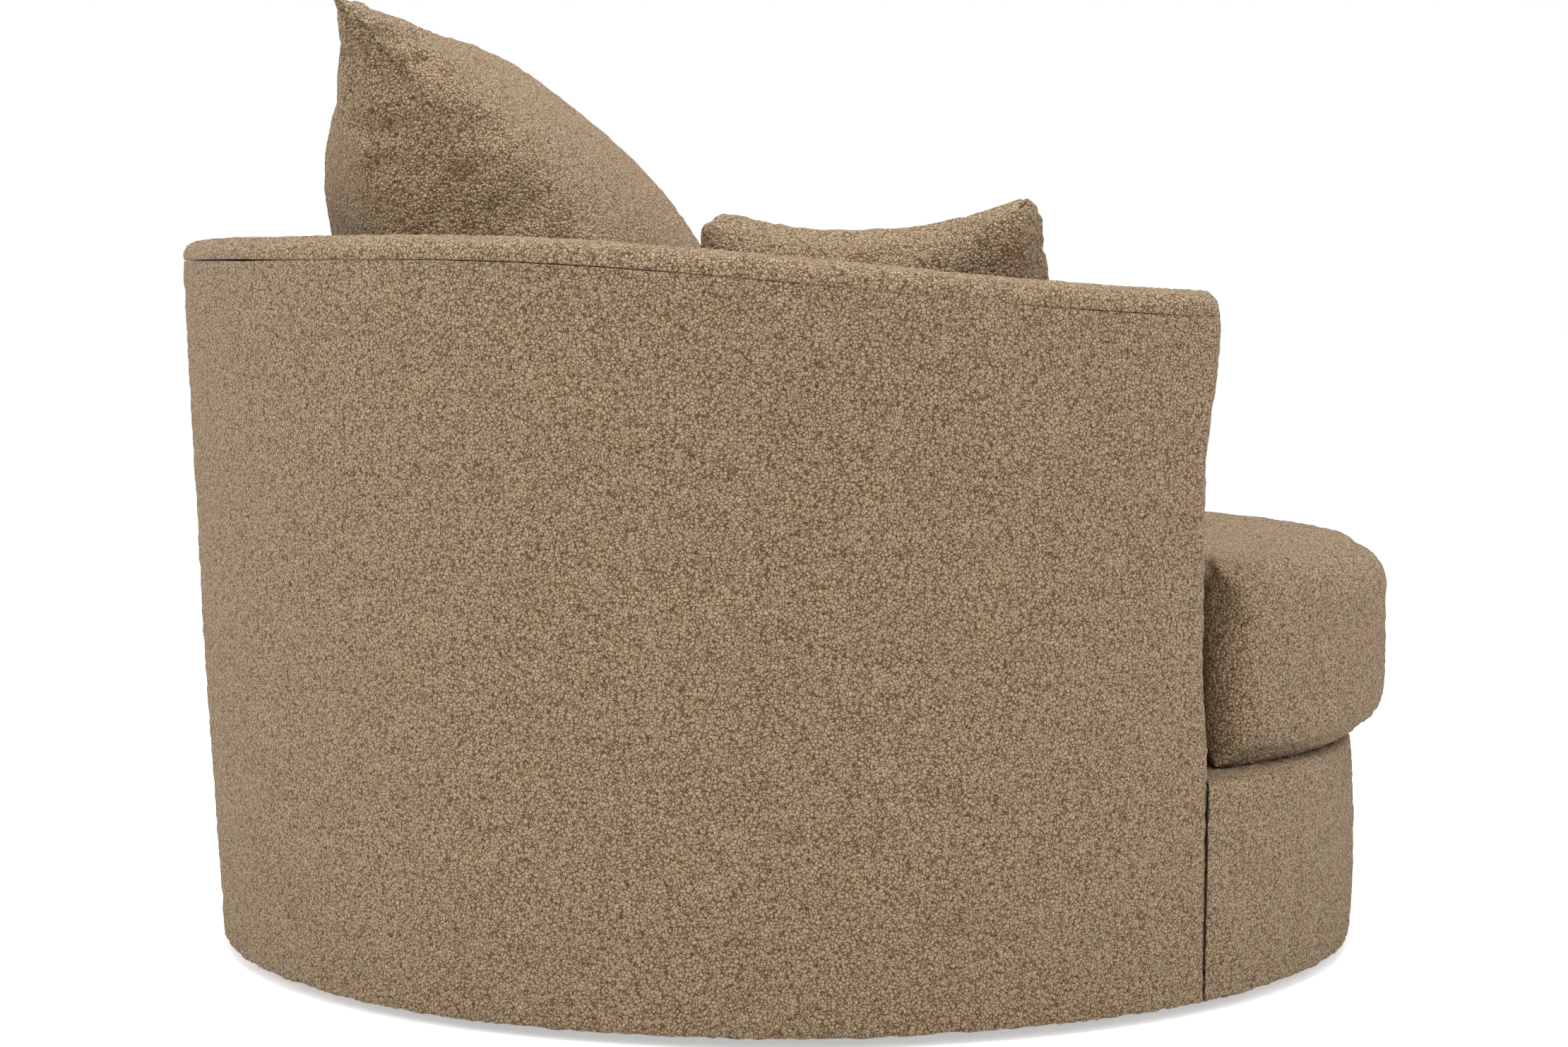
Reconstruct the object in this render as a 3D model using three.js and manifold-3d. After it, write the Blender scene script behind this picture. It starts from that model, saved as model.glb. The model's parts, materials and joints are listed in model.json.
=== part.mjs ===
// A round swivel cuddle chair: a tub of arms and back in one curve, upholstered down to the
// floor, with a loose boxed seat cushion, a large back cushion and a scatter cushion.
// Inside is a plywood and rib frame with serpentine springs. It turns on a ball bearing that
// stands on a steel cross. Units are millimetres, z is up and the chair faces -y. The origin
// is on the floor, on the axis that the chair turns about.

import * as THREE from "three";
import { mergeVertices } from "three/addons/utils/BufferGeometryUtils.js";
import Module from "manifold-3d";

const wasm = await Module();
wasm.setup();
const { lerp, smoothstep, degToRad } = THREE.MathUtils;

// Gap kept between pieces that touch, and the overrun of a cutting solid
const fit = 0.3;
const overrun = 5;
const weldTolerance = 0.001;

// Upholstered shell, round in plan and wider towards its rim
const rimRadius = 627.5;
const shellFlare = 32.5;
const shellBow = 2;
const hemHeight = 10;
const armSetback = 230.5;
const coverThickness = 12;

// Levels of the seat, from the seat ring up to the crown of the cushion
const seatRingTop = 190;
const deckRise = 30;
const deckPadThickness = 12;
const deckSideGap = 1;
const seatBorderHeight = 208;
const seatCrown = 12;

// Rim, which sweeps down from the back to the arms between two places along the chair
const armRise = 237;
const backRise = 54;
const riseFrontRun = 95;
const riseBackRun = 279.5;
const rimCorner = 17;
const rimSeamDrop = 3;
const rimWadding = 1;

// Width of the arms and back, by how far the inner face lies inside the hem and the rim
const armDeckWidth = 98;
const armRimWidth = 115.5;
const armLining = 25;

// Front panel below the seat, which stands out a little from the shell's circle
const frontOffset = 2;
const frontBow = 5.5;

// Timber frame
const plyThickness = 18;
const ribDepth = 30;
const ribSpacing = degToRad(44);
const backRibCount = 5;
const frontPostSpacing = degToRad(26);
const frontPostCount = 3;
const frontPostDepth = 60;
const bottomRailWidth = 26;
const bottomRailDrop = 32;
const springLedge = 12;
const topRailDepth = 26;
const topRailHeight = 60;
const frontBoardThickness = 6;

// Seat springs and their clips
const springCount = 5;
const springSpacing = 140;
const springWidth = 60;
const springPitch = 36;
const springWire = 4;
const springSeatLength = 12;
const clipThickness = 1.5;
const clipWidth = 20;
const clipTail = 24;
const clipLip = 8;

// Steel cross on the floor, with a moulded glide in each end
const glideHeight = 6;
const glideFootLength = 36;
const glideCapThickness = 3;
const glidePlugLength = 22;
const crossSetback = 165;
const tubeWidth = 40;
const tubeHeight = 25;
const tubeWall = 2;

// Swivel bearing between two steel plates
const swivelPlateThickness = 3;
const plateCorner = 20;
const plateMargin = 4;
const ballDiameter = 8;
const ballCount = 12;
const ballGap = 0.6;
const ballCircleRadius = 95;
const raceWidth = 22;
const raceWeb = 1.4;
const cageThickness = 1.6;
const cageWidth = 13;
const cageGap = 0.8;
const studDiameter = 12;
const studCollarDiameter = 30;
const studCollarHeight = 4;
const studTail = 5;
const washerDiameter = 32;
const washerThickness = 2.5;
const nutWidth = 19;
const nutHeight = 10;
const studClearance = 0.6;
const deckBoltDiameter = 8;
const deckBoltHeadWidth = 13;
const deckBoltHeadHeight = 4.5;
const deckBoltSetback = 5;
const deckBoltMargin = 25;
const deckBoltGap = 0.4;
const spindleHoleGap = 7;

// Dust cloth under the base board
const dustClothThickness = 1;
const dustClothGap = 13;

// Seat cushion: a disc between the arms, widened in front of them
const seatOverhang = 40.5;
const seatSideGap = 4;
const seatEarSetback = 180;
const seatEarRadius = 38;
const seatEarMinRadius = 2;
const seatFacingGap = 5;
const seatBorderPull = 38;
const seatBorderPullShares = [0.95, 0.62, 0.28, 0.09, 0, 0.04, 0.2, 0.48, 1];
const seatBorderLevelShares = [0, 0.045, 0.12, 0.24, 0.5, 0.7, 0.84, 0.93, 1];
const seatCrownPower = 0.25;

// Back cushion, leaning on the back of the shell
const backCushionSideRoom = 152;
const backCushionHeight = 610;
const backCushionThickness = 360;
const backCushionSagShare = 0.36;
const backCushionLean = degToRad(26);
const backCushionSetback = 214;
const backCushionSink = 9;

// Scatter cushion, turned into the corner between the back cushion and the right arm
const scatterSize = 368;
const scatterThickness = 150;
const scatterSagShare = 0.1;
const scatterLean = degToRad(21);
const scatterTurn = degToRad(58);
const scatterArmSetback = 222;
const scatterBackSetback = 211;
const scatterSink = 16;

// How far a cushion's edges draw in between its corners, as shares of its size
const edgePullShare = 0.06;
const pillowCrownPower = 0.55;
const pillowSagLevelShare = 0.2;

// Steps of the curved surfaces
const wallSteps = 40;
const frontSteps = 16;
const coverRows = 5;
const liningRows = 2;
const cornerSteps = 3;
const roundSegments = 24;
const raceSegments = 36;
const ballSegments = 8;
const ballRows = 4;
const grooveSteps = 4;
const pillowSteps = 14;
const crownColumns = 8;
const springBendSteps = 3;
const shankSegments = 12;
const earSteps = 5;
const seatArcSteps = 8;
const seatSideSteps = 13;

// Radii and places along the chair, which follow from the shell
const hemRadius = rimRadius - shellFlare;
const innerDeckRadius = hemRadius - armDeckWidth;
const innerRimRadius = rimRadius - armRimWidth;
const armFrontY = armSetback - rimRadius;
const riseFrontY = armFrontY - riseFrontRun;
const riseBackY = rimRadius - riseBackRun;
const frontHemReach = hemRadius + frontOffset;
const crossReach = hemRadius - crossSetback;
const seatRingWidth = armDeckWidth + springLedge;
const rimDepth = rimCorner + rimSeamDrop;

// Heights of the stacked pieces, from the floor up
const raceGap = ballDiameter + 2 * (ballGap + raceWeb);
const tubeBottom = glideHeight;
const tubeTop = tubeBottom + tubeHeight;
const raceBottom = tubeTop + swivelPlateThickness;
const ballLevel = raceBottom + raceGap / 2;
const raceTop = raceBottom + raceGap;
const baseBoardBottom = raceTop + swivelPlateThickness;
const baseBoardTop = baseBoardBottom + plyThickness;
const bottomRailBottom = baseBoardBottom - bottomRailDrop;
const seatRingBottom = seatRingTop - plyThickness;
const deckTop = seatRingTop + deckRise;
const deckPadBottom = deckTop - deckPadThickness;
const seatBorderTop = deckTop + seatBorderHeight;
const seatCushionTop = seatBorderTop + seatCrown;
const armHeight = seatCushionTop + armRise;
const backHeight = armHeight + backRise;

// How far a curved panel's flat facets lie inside its true curve
function facetSag(radius, halfAngle, steps) {
  return radius * (1 - Math.cos(halfAngle / steps));
}

const wallSag = facetSag(rimRadius, Math.acos(armFrontY / rimRadius), wallSteps);
const hemArc = frontArc(hemHeight);
const hemArcHalfAngle = Math.acos((hemArc.centreY - armFrontY) / hemArc.radius);
const frontSag = facetSag(hemArc.radius, hemArcHalfAngle, frontSteps);

// Depths of the layers, in from the outer face of the shell and down from the top of the rim
const frameInset = coverThickness + fit;
const ribInset = frameInset + wallSag;
const ringInset = ribInset + ribDepth + fit;
const frontBoardInset = frameInset + fit;
const frontPostInset = frontBoardInset + frontBoardThickness + fit + frontSag;
const coverDrop = rimDepth + 2 * fit;
const frameDrop = coverDrop + rimWadding;

const finishes = {
  boucle: { color: 0xa58d72, roughness: 0.95, metalness: 0 },
  deckCloth: { color: 0x8a7a66, roughness: 0.95, metalness: 0 },
  dustCloth: { color: 0x1e1e1e, roughness: 0.9, metalness: 0 },
  plywood: { color: 0xc7a676, roughness: 0.75, metalness: 0 },
  steel: { color: 0x3a3b3d, roughness: 0.5, metalness: 0.9 },
  zinc: { color: 0xb7b9bb, roughness: 0.35, metalness: 1 },
  plastic: { color: 0x18181a, roughness: 0.55, metalness: 0 },
};

const chair = new THREE.Group();

function add(name, geometry, finish, parent = chair) {
  const mesh = new THREE.Mesh(geometry, new THREE.MeshStandardMaterial(finishes[finish]));
  mesh.name = name;
  parent.add(mesh);
  return mesh;
}

// Solids from points and triangles, and boolean joins and cuts

function toManifold(geometry) {
  const bare = new THREE.BufferGeometry();
  bare.setAttribute("position", geometry.getAttribute("position"));
  if (geometry.index) bare.setIndex(geometry.index);
  const merged = mergeVertices(bare, weldTolerance);
  const mesh = new wasm.Mesh({
    numProp: 3,
    vertProperties: Float32Array.from(merged.getAttribute("position").array),
    triVerts: Uint32Array.from(merged.index.array),
  });
  return new wasm.Manifold(mesh);
}

function fromManifold(manifold) {
  const mesh = manifold.getMesh();
  const geometry = new THREE.BufferGeometry();
  geometry.setAttribute("position", new THREE.BufferAttribute(mesh.vertProperties, 3));
  geometry.setIndex(new THREE.BufferAttribute(mesh.triVerts, 1));
  geometry.computeVertexNormals();
  return geometry;
}

function cut(geometry, ...tools) {
  const cutAway = (solid, tool) => solid.subtract(toManifold(tool));
  return fromManifold(tools.reduce(cutAway, toManifold(geometry)));
}

function join(first, ...others) {
  const addOn = (solid, other) => solid.add(toManifold(other));
  return fromManifold(others.reduce(addOn, toManifold(first)));
}

// A geometry from shared points, with its faces turned outwards
function solidFrom(points, triangles) {
  const volume = triangles.reduce((sum, [a, b, c]) => {
    return sum + points[a].dot(new THREE.Vector3().crossVectors(points[b], points[c]));
  }, 0);
  const facing = volume < 0 ? triangles.map(([a, b, c]) => [a, c, b]) : triangles;
  const geometry = new THREE.BufferGeometry().setFromPoints(points);
  geometry.setIndex(facing.flat());
  geometry.computeVertexNormals();
  return geometry;
}

// Triangles that close a flat loop of points, which may be hollow on one side
function capTriangles(loop) {
  const normal = new THREE.Vector3();
  loop.forEach((point, i) => {
    normal.add(new THREE.Vector3().crossVectors(point, loop[(i + 1) % loop.length]));
  });
  const across = loop[1].clone().sub(loop[0]).normalize();
  const up = new THREE.Vector3().crossVectors(normal.normalize(), across);
  const flat = loop.map((point) => new THREE.Vector2(point.dot(across), point.dot(up)));
  return THREE.ShapeUtils.triangulateShape(flat, []);
}

// A closed solid through a row of sections, each a loop of as many points
function sweep(sections) {
  const size = sections[0].length;
  const triangles = [];
  for (let i = 0; i + 1 < sections.length; i++) {
    for (let j = 0; j < size; j++) {
      const a = i * size + j;
      const b = i * size + ((j + 1) % size);
      triangles.push([a, b, a + size], [b, b + size, a + size]);
    }
  }
  const last = (sections.length - 1) * size;
  capTriangles(sections[0]).forEach(([a, b, c]) => triangles.push([c, b, a]));
  capTriangles(sections.at(-1)).forEach(([a, b, c]) => triangles.push([last + a, last + b, last + c]));
  return solidFrom(sections.flat(), triangles);
}

function span(steps, from, to) {
  return Array.from({ length: steps + 1 }, (_, i) => lerp(from, to, i / steps));
}

// A panel between two curved faces, each given by a place along and a place up
function panel(outerFace, innerFace, steps, rows) {
  const sections = span(steps, -1, 1).map((along) => [
    ...span(rows, 0, 1).map((up) => outerFace(along, up)),
    ...span(rows, 1, 0).map((up) => innerFace(along, up)),
  ]);
  return sweep(sections);
}

// A flat plate from an outline, lying at a height
function plate(shape, bottom, thickness) {
  const options = { depth: thickness, bevelEnabled: false, curveSegments: roundSegments / 2 };
  return new THREE.ExtrudeGeometry(shape, options).translate(0, 0, bottom);
}

function box(width, depth, height, x, y, bottom) {
  return new THREE.BoxGeometry(width, depth, height).translate(x, y, bottom + height / 2);
}

function rod(diameter, bottom, height, segments = roundSegments) {
  const geometry = new THREE.CylinderGeometry(diameter / 2, diameter / 2, height, segments);
  return geometry.rotateX(Math.PI / 2).translate(0, 0, bottom + height / 2);
}

function hexagon(widthAcrossFlats, bottom, height) {
  return rod(widthAcrossFlats / Math.cos(Math.PI / 6), bottom, height, 6);
}

function roundedSquare(width, corner) {
  const half = width / 2 - corner;
  const points = [0, 1, 2, 3].flatMap((quarter) => {
    const middle = new THREE.Vector2(half, half).rotateAround(new THREE.Vector2(), (quarter * Math.PI) / 2);
    return span(cornerSteps, quarter, quarter + 1).map((turn) => {
      const angle = (turn * Math.PI) / 2;
      return new THREE.Vector2(middle.x + corner * Math.cos(angle), middle.y + corner * Math.sin(angle));
    });
  });
  return new THREE.Shape(points);
}

function roundHole(x, y, diameter) {
  return new THREE.Path().absarc(x, y, diameter / 2, 0, Math.PI * 2);
}

// The shell's faces

function shellRadius(z) {
  const up = (z - hemHeight) / (armHeight - hemHeight);
  return lerp(hemRadius, rimRadius, up) + 4 * shellBow * up * (1 - up);
}

function innerRadius(z) {
  return lerp(innerDeckRadius, innerRimRadius, (z - deckTop) / (armHeight - deckTop));
}

function rimTop(y) {
  return lerp(armHeight, backHeight, smoothstep(y, riseFrontY, riseBackY));
}

// A point on a level arc whose two ends lie at endY: along runs from -1 to 1 between them
function arcPoint(along, radius, z, endY, centreY = 0, facing = 1) {
  const angle = along * Math.acos((facing * (endY - centreY)) / radius);
  return new THREE.Vector3(radius * Math.sin(angle), centreY + facing * radius * Math.cos(angle), z);
}

// A point on the wall: up runs from the bottom to a line that lies a drop below the rim
function wallPoint(along, up, wall) {
  let top = backHeight - wall.drop;
  for (let pass = 0; pass < 3; pass++) {
    top = rimTop(arcPoint(along, wall.radiusAt(top), top, wall.endY).y) - wall.drop;
  }
  const z = lerp(wall.bottom, top, up);
  return arcPoint(along, wall.radiusAt(z), z, wall.endY);
}

function wallFace(radiusAt, bottom, drop, endY = armFrontY) {
  return (along, up) => wallPoint(along, up, { radiusAt, bottom, drop, endY });
}

// The front panel's arc at a height, which meets the shell at the arm fronts
function frontArc(z) {
  const up = (z - hemHeight) / (deckTop - hemHeight);
  const reach = frontHemReach + 4 * frontBow * up * (1 - up);
  const rise = reach + armFrontY;
  const halfChord = Math.sqrt(shellRadius(z) ** 2 - armFrontY ** 2);
  const radius = (halfChord ** 2 + rise ** 2) / (2 * rise);
  return { radius, centreY: radius - reach };
}

function frontPoint(along, z, inset, endY = armFrontY - fit) {
  const arc = frontArc(z);
  return arcPoint(along, arc.radius - inset, z, endY, arc.centreY, -1);
}

function frontFace(inset, bottom, top) {
  return (along, up) => frontPoint(along, lerp(bottom, top, up), inset);
}

// The chair's outline in plan at a height, drawn in by an inset
function footprint(z, inset) {
  const radius = shellRadius(z) - inset;
  const back = span(wallSteps, -1, 1).map((along) => arcPoint(along, radius, z, armFrontY));
  const front = span(frontSteps, 1, -1).map((along) => frontPoint(along, z, inset, armFrontY));
  return [...back, ...front].map((point) => new THREE.Vector2(point.x, point.y)).reverse();
}

// Floor cross, glides and the fixed half of the swivel, turned so that the feet stand at the corners

const base = new THREE.Group();
base.rotation.z = Math.PI / 4;
chair.add(base);

// A length of square tube along one arm of the cross, between two distances from its middle
function crossTube(from, to) {
  const length = to - from;
  const middle = (from + to) / 2;
  const boreWidth = tubeWidth - 2 * tubeWall;
  const boreHeight = tubeHeight - 2 * tubeWall;
  const bore = box(length + overrun, boreWidth, boreHeight, middle, 0, tubeBottom + tubeWall);
  return cut(box(length, tubeWidth, tubeHeight, middle, 0, tubeBottom), bore);
}

// One moulding: a plug in the tube, a cap over its end and a foot that stands on the floor
function makeGlide() {
  const slack = 2 * (tubeWall + fit);
  const plug = box(
    glidePlugLength,
    tubeWidth - slack,
    tubeHeight - slack,
    crossReach - glidePlugLength / 2 + fit,
    0,
    tubeBottom + tubeWall + fit,
  );
  const capMiddle = crossReach + fit + glideCapThickness / 2;
  const cap = box(glideCapThickness, tubeWidth, tubeTop, capMiddle, 0, 0);
  const footMiddle = crossReach + fit + glideCapThickness - glideFootLength / 2;
  const foot = box(glideFootLength, tubeWidth, glideHeight - fit, footMiddle, 0, 0);
  return join(plug, cap, foot);
}

// One tube runs through and the other two are welded to its sides
add("floor_tube_long", crossTube(-crossReach, crossReach), "steel", base);
for (const [name, turn] of [["left", Math.PI / 2], ["right", -Math.PI / 2]]) {
  const tube = crossTube(tubeWidth / 2 + fit, crossReach);
  add(`floor_tube_${name}`, tube, "steel", base).rotation.z = turn;
}

for (let i = 0; i < 4; i++) {
  add(`glide_${i + 1}`, makeGlide(), "plastic", base).rotation.z = (i * Math.PI) / 2;
}
const lowerPlateWidth = 2 * (ballCircleRadius + raceWidth / 2 + plateMargin);
const lowerPlateShape = roundedSquare(lowerPlateWidth, plateCorner);
add("lower_swivel_plate", plate(lowerPlateShape, tubeTop, swivelPlateThickness), "steel", base);

// Ball races, pressed rings with a groove for the balls

function raceProfile(side) {
  const grooveRadius = ballDiameter / 2 + ballGap;
  const flat = ballLevel + (side * raceGap) / 2;
  const lip = ballLevel + side * (cageThickness / 2 + cageGap);
  const openAngle = Math.asin(Math.abs(lip - ballLevel) / grooveRadius);
  const groove = span(grooveSteps, openAngle, Math.PI - openAngle).map((angle) => {
    const x = ballCircleRadius + grooveRadius * Math.cos(angle);
    return new THREE.Vector2(x, ballLevel + side * grooveRadius * Math.sin(angle));
  });
  const outer = ballCircleRadius + raceWidth / 2;
  const inner = ballCircleRadius - raceWidth / 2;
  const corners = [
    new THREE.Vector2(inner, lip),
    new THREE.Vector2(inner, flat),
    new THREE.Vector2(outer, flat),
    new THREE.Vector2(outer, lip),
  ];
  const profile = [...corners, ...groove];
  return side < 0 ? profile : profile.reverse();
}

function ring(profile) {
  return new THREE.LatheGeometry([...profile, profile[0]], raceSegments).rotateX(Math.PI / 2);
}

add("lower_race", ring(raceProfile(-1)), "zinc", base);

function makeBallCage() {
  const width = cageWidth / 2;
  const bottom = ballLevel - cageThickness / 2;
  const shape = new THREE.Shape().absarc(0, 0, ballCircleRadius + width, 0, Math.PI * 2);
  shape.holes.push(new THREE.Path().absarc(0, 0, ballCircleRadius - width, 0, Math.PI * 2));
  const balls = Array.from({ length: ballCount }, (_, i) => {
    const angle = (i * 2 * Math.PI) / ballCount;
    const ball = new THREE.SphereGeometry(ballDiameter / 2, ballSegments, ballRows).rotateX(Math.PI / 2);
    const x = ballCircleRadius * Math.cos(angle);
    const y = ballCircleRadius * Math.sin(angle);
    return ball.translate(x, y, ballLevel);
  });
  return join(plate(shape, bottom, cageThickness), ...balls);
}

add("ball_cage", makeBallCage(), "zinc");

// Centre stud with its washer and nut, which keep the two plates together
const washerBottom = baseBoardBottom + fit;
const nutBottom = washerBottom + washerThickness + fit;
const studLength = nutBottom + nutHeight + studTail - raceBottom;
add(
  "centre_stud",
  join(rod(studCollarDiameter, raceBottom, studCollarHeight), rod(studDiameter, raceBottom, studLength)),
  "zinc",
  base,
);

const studBore = rod(studDiameter + 2 * fit, raceBottom, studLength + overrun);
add("stud_washer", cut(rod(washerDiameter, washerBottom, washerThickness), studBore), "zinc", base);
add("stud_nut", cut(hexagon(nutWidth, nutBottom, nutHeight), studBore), "zinc", base);

// The turning half of the swivel, bolted under the base board

const deckBoltPlace = ballCircleRadius + deckBoltSetback;
const boltPlaces = [-1, 1].flatMap((x) => [-1, 1].map((y) => [x * deckBoltPlace, y * deckBoltPlace]));
const boltHoles = boltPlaces.map(([x, y]) => roundHole(x, y, deckBoltDiameter + 2 * deckBoltGap));

add("upper_race", ring(raceProfile(1)), "zinc");

const upperPlateWidth = 2 * (deckBoltPlace + deckBoltMargin);
const upperPlateShape = roundedSquare(upperPlateWidth, plateCorner);
upperPlateShape.holes.push(roundHole(0, 0, studDiameter + 2 * studClearance));
upperPlateShape.holes.push(...boltHoles);
add("upper_swivel_plate", plate(upperPlateShape, raceTop, swivelPlateThickness), "steel");

const deckBoltBottom = raceTop - deckBoltHeadHeight;
boltPlaces.forEach(([x, y], i) => {
  const head = hexagon(deckBoltHeadWidth, deckBoltBottom, deckBoltHeadHeight);
  const shank = rod(deckBoltDiameter, deckBoltBottom, baseBoardTop - deckBoltBottom, shankSegments);
  add(`deck_bolt_${i + 1}`, join(head, shank), "zinc").position.set(x, y, 0);
});

// Timber frame: base board, bottom rail, ribs, seat ring and top rail

const baseBoardShape = new THREE.Shape(footprint(baseBoardBottom, frameInset));
baseBoardShape.holes.push(roundHole(0, 0, washerDiameter + 2 * spindleHoleGap));
baseBoardShape.holes.push(...boltHoles);
add("base_board", plate(baseBoardShape, baseBoardBottom, plyThickness), "plywood");

function flatRing(level, inset, width) {
  const shape = new THREE.Shape(footprint(level, inset));
  shape.holes.push(new THREE.Path(footprint(level, inset + width)));
  return shape;
}

const bottomRailShape = flatRing(bottomRailBottom, frameInset, bottomRailWidth);
add("bottom_rail", plate(bottomRailShape, bottomRailBottom, bottomRailDrop), "plywood");
const seatRingShape = flatRing(seatRingBottom, ringInset, seatRingWidth);
add("seat_ring", plate(seatRingShape, seatRingBottom, plyThickness), "plywood");

// The top rail follows the slope of the rim, between the boards in the two arm fronts
const armPanelFrontY = armFrontY + coverThickness + fit;
const armPanelBackY = armPanelFrontY + plyThickness;

function railFace(inset) {
  const drop = (up) => frameDrop + topRailHeight * (1 - up);
  return (along, up) => {
    const radiusAt = (z) => shellRadius(z) - inset;
    return wallPoint(along, 1, { radiusAt, bottom: 0, drop: drop(up), endY: armPanelBackY + fit });
  };
}

add("top_rail", panel(railFace(ribInset), railFace(ribInset + topRailDepth), wallSteps, 1), "plywood");

// An upright board that points at the axis, between two radii that change with height
function uprightBoard(outerRadiusAt, depth, bottom, top) {
  const outerEdge = span(coverRows, bottom, top).map((z) => new THREE.Vector2(outerRadiusAt(z), z));
  const innerEdge = outerEdge.map((point) => new THREE.Vector2(point.x - depth, point.y)).reverse();
  const shape = new THREE.Shape([...outerEdge, ...innerEdge]);
  const options = { depth: plyThickness, bevelEnabled: false };
  return new THREE.ExtrudeGeometry(shape, options).translate(0, 0, -plyThickness / 2).rotateX(Math.PI / 2);
}

for (let i = 0; i < backRibCount; i++) {
  const angle = (i - (backRibCount - 1) / 2) * ribSpacing;
  const lowestY = shellRadius(backHeight) * Math.cos(angle) - (plyThickness / 2) * Math.abs(Math.sin(angle));
  const top = rimTop(lowestY) - frameDrop - topRailHeight - 2 * fit;
  const rib = uprightBoard((z) => shellRadius(z) - ribInset, ribDepth, baseBoardTop, top);
  add(`back_rib_${i + 1}`, rib, "plywood").rotation.z = Math.PI / 2 - angle;
}

// How far the front panel's arc lies from the axis, at an angle to the chair's front
function frontRadius(angle, z, inset) {
  const arc = frontArc(z);
  const radius = arc.radius - inset;
  return Math.sqrt(radius ** 2 - (arc.centreY * Math.sin(angle)) ** 2) - arc.centreY * Math.cos(angle);
}

for (let i = 0; i < frontPostCount; i++) {
  const angle = (i - (frontPostCount - 1) / 2) * frontPostSpacing;
  const outerRadiusAt = (z) => frontRadius(angle, z, frontPostInset);
  const post = uprightBoard(outerRadiusAt, frontPostDepth, baseBoardTop, seatRingBottom);
  add(`front_post_${i + 1}`, post, "plywood").rotation.z = angle - Math.PI / 2;
}

add(
  "front_board",
  panel(
    frontFace(frontBoardInset, baseBoardTop, deckPadBottom - fit),
    frontFace(frontBoardInset + frontBoardThickness, baseBoardTop, deckPadBottom - fit),
    frontSteps,
    coverRows,
  ),
  "plywood",
);

// Boards and facings in the arm fronts, which fill the wall between its cover and its lining

function armOutline(side, y, outerInset, innerInset, bottom, topDrop) {
  const acrossAt = (radius) => side * Math.sqrt(radius ** 2 - y ** 2);
  const heights = span(coverRows, bottom, rimTop(y) - topDrop);
  const outer = heights.map((z) => new THREE.Vector2(acrossAt(shellRadius(z) - outerInset), z));
  const inner = heights.map((z) => new THREE.Vector2(acrossAt(innerRadius(z) + innerInset), z));
  return new THREE.Shape([...outer, ...inner.reverse()]);
}

// An upright plate whose back face lies at backY and which is as thick as given, towards the front
function facePlate(shape, backY, thickness) {
  const options = { depth: thickness, bevelEnabled: false };
  return new THREE.ExtrudeGeometry(shape, options).rotateX(Math.PI / 2).translate(0, backY, 0);
}

function armPanel(side, clearance) {
  const inner = armLining - clearance;
  const drop = frameDrop - clearance;
  const shape = armOutline(side, armPanelFrontY, ribInset, inner, baseBoardTop, drop);
  return facePlate(shape, armPanelBackY + clearance, plyThickness + 2 * clearance);
}

function armFacing(side, clearance) {
  const inner = coverThickness + fit - clearance;
  const drop = coverDrop - clearance;
  const shape = armOutline(side, armFrontY, ribInset, inner, seatRingTop + fit, drop);
  return facePlate(shape, armPanelFrontY - fit + clearance, coverThickness + 2 * clearance);
}

// The slot that the seat ring passes through in an arm panel
const ringSlotShape = flatRing(seatRingBottom, ringInset - fit, seatRingWidth + 2 * fit);
const ringSlot = plate(ringSlotShape, seatRingBottom - fit, plyThickness + 2 * fit);

for (const [name, side] of [["left", 1], ["right", -1]]) {
  add(`arm_panel_${name}`, cut(armPanel(side, 0), ringSlot), "plywood");
  add(`arm_facing_${name}`, armFacing(side, 0), "boucle");
}

// Serpentine springs, front to back across the seat ring, each held by a clip at either end

const wireLevel = seatRingTop + clipThickness + fit + springWire / 2;
const springRise = deckPadBottom - fit - springWire / 2 - wireLevel;

function springEnds(x) {
  const inset = ringInset + seatRingWidth;
  const backRadius = shellRadius(seatRingBottom) - inset;
  const arc = frontArc(seatRingBottom);
  const backY = Math.sqrt(backRadius ** 2 - x ** 2) + springSeatLength;
  const frontY = arc.centreY - Math.sqrt((arc.radius - inset) ** 2 - x ** 2) - springSeatLength;
  return { backY, frontY };
}

function springPath(x, { backY, frontY }) {
  const bars = Math.round((backY - frontY) / springPitch);
  const pitch = (backY - frontY) / bars;
  const bendCentre = springWidth / 2 - pitch / 2;
  const points = [new THREE.Vector2(-bendCentre, backY)];
  for (let bar = 0; bar < bars; bar++) {
    const side = bar % 2 ? -1 : 1;
    const middleY = backY - (bar + 0.5) * pitch;
    for (const angle of span(springBendSteps, Math.PI / 2, -Math.PI / 2)) {
      const bendX = side * (bendCentre + (pitch / 2) * Math.cos(angle));
      points.push(new THREE.Vector2(bendX, middleY + (pitch / 2) * Math.sin(angle)));
    }
  }
  points.push(new THREE.Vector2(bars % 2 ? -bendCentre : bendCentre, frontY));
  return points.map((point) => {
    const along = (backY - point.y) / (backY - frontY);
    return new THREE.Vector3(x + point.x, point.y, wireLevel + springRise * 4 * along * (1 - along));
  });
}

// A square wire along a path that lies nearly flat
function wire(path, diameter) {
  const up = new THREE.Vector3(0, 0, diameter / 2);
  const sections = path.map((point, i) => {
    const before = path[Math.max(i - 1, 0)];
    const after = path[Math.min(i + 1, path.length - 1)];
    const side = new THREE.Vector3(before.y - after.y, after.x - before.x, 0).setLength(diameter / 2);
    return [
      point.clone().add(side),
      point.clone().add(up),
      point.clone().sub(side),
      point.clone().sub(up),
    ];
  });
  return sweep(sections);
}

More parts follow.
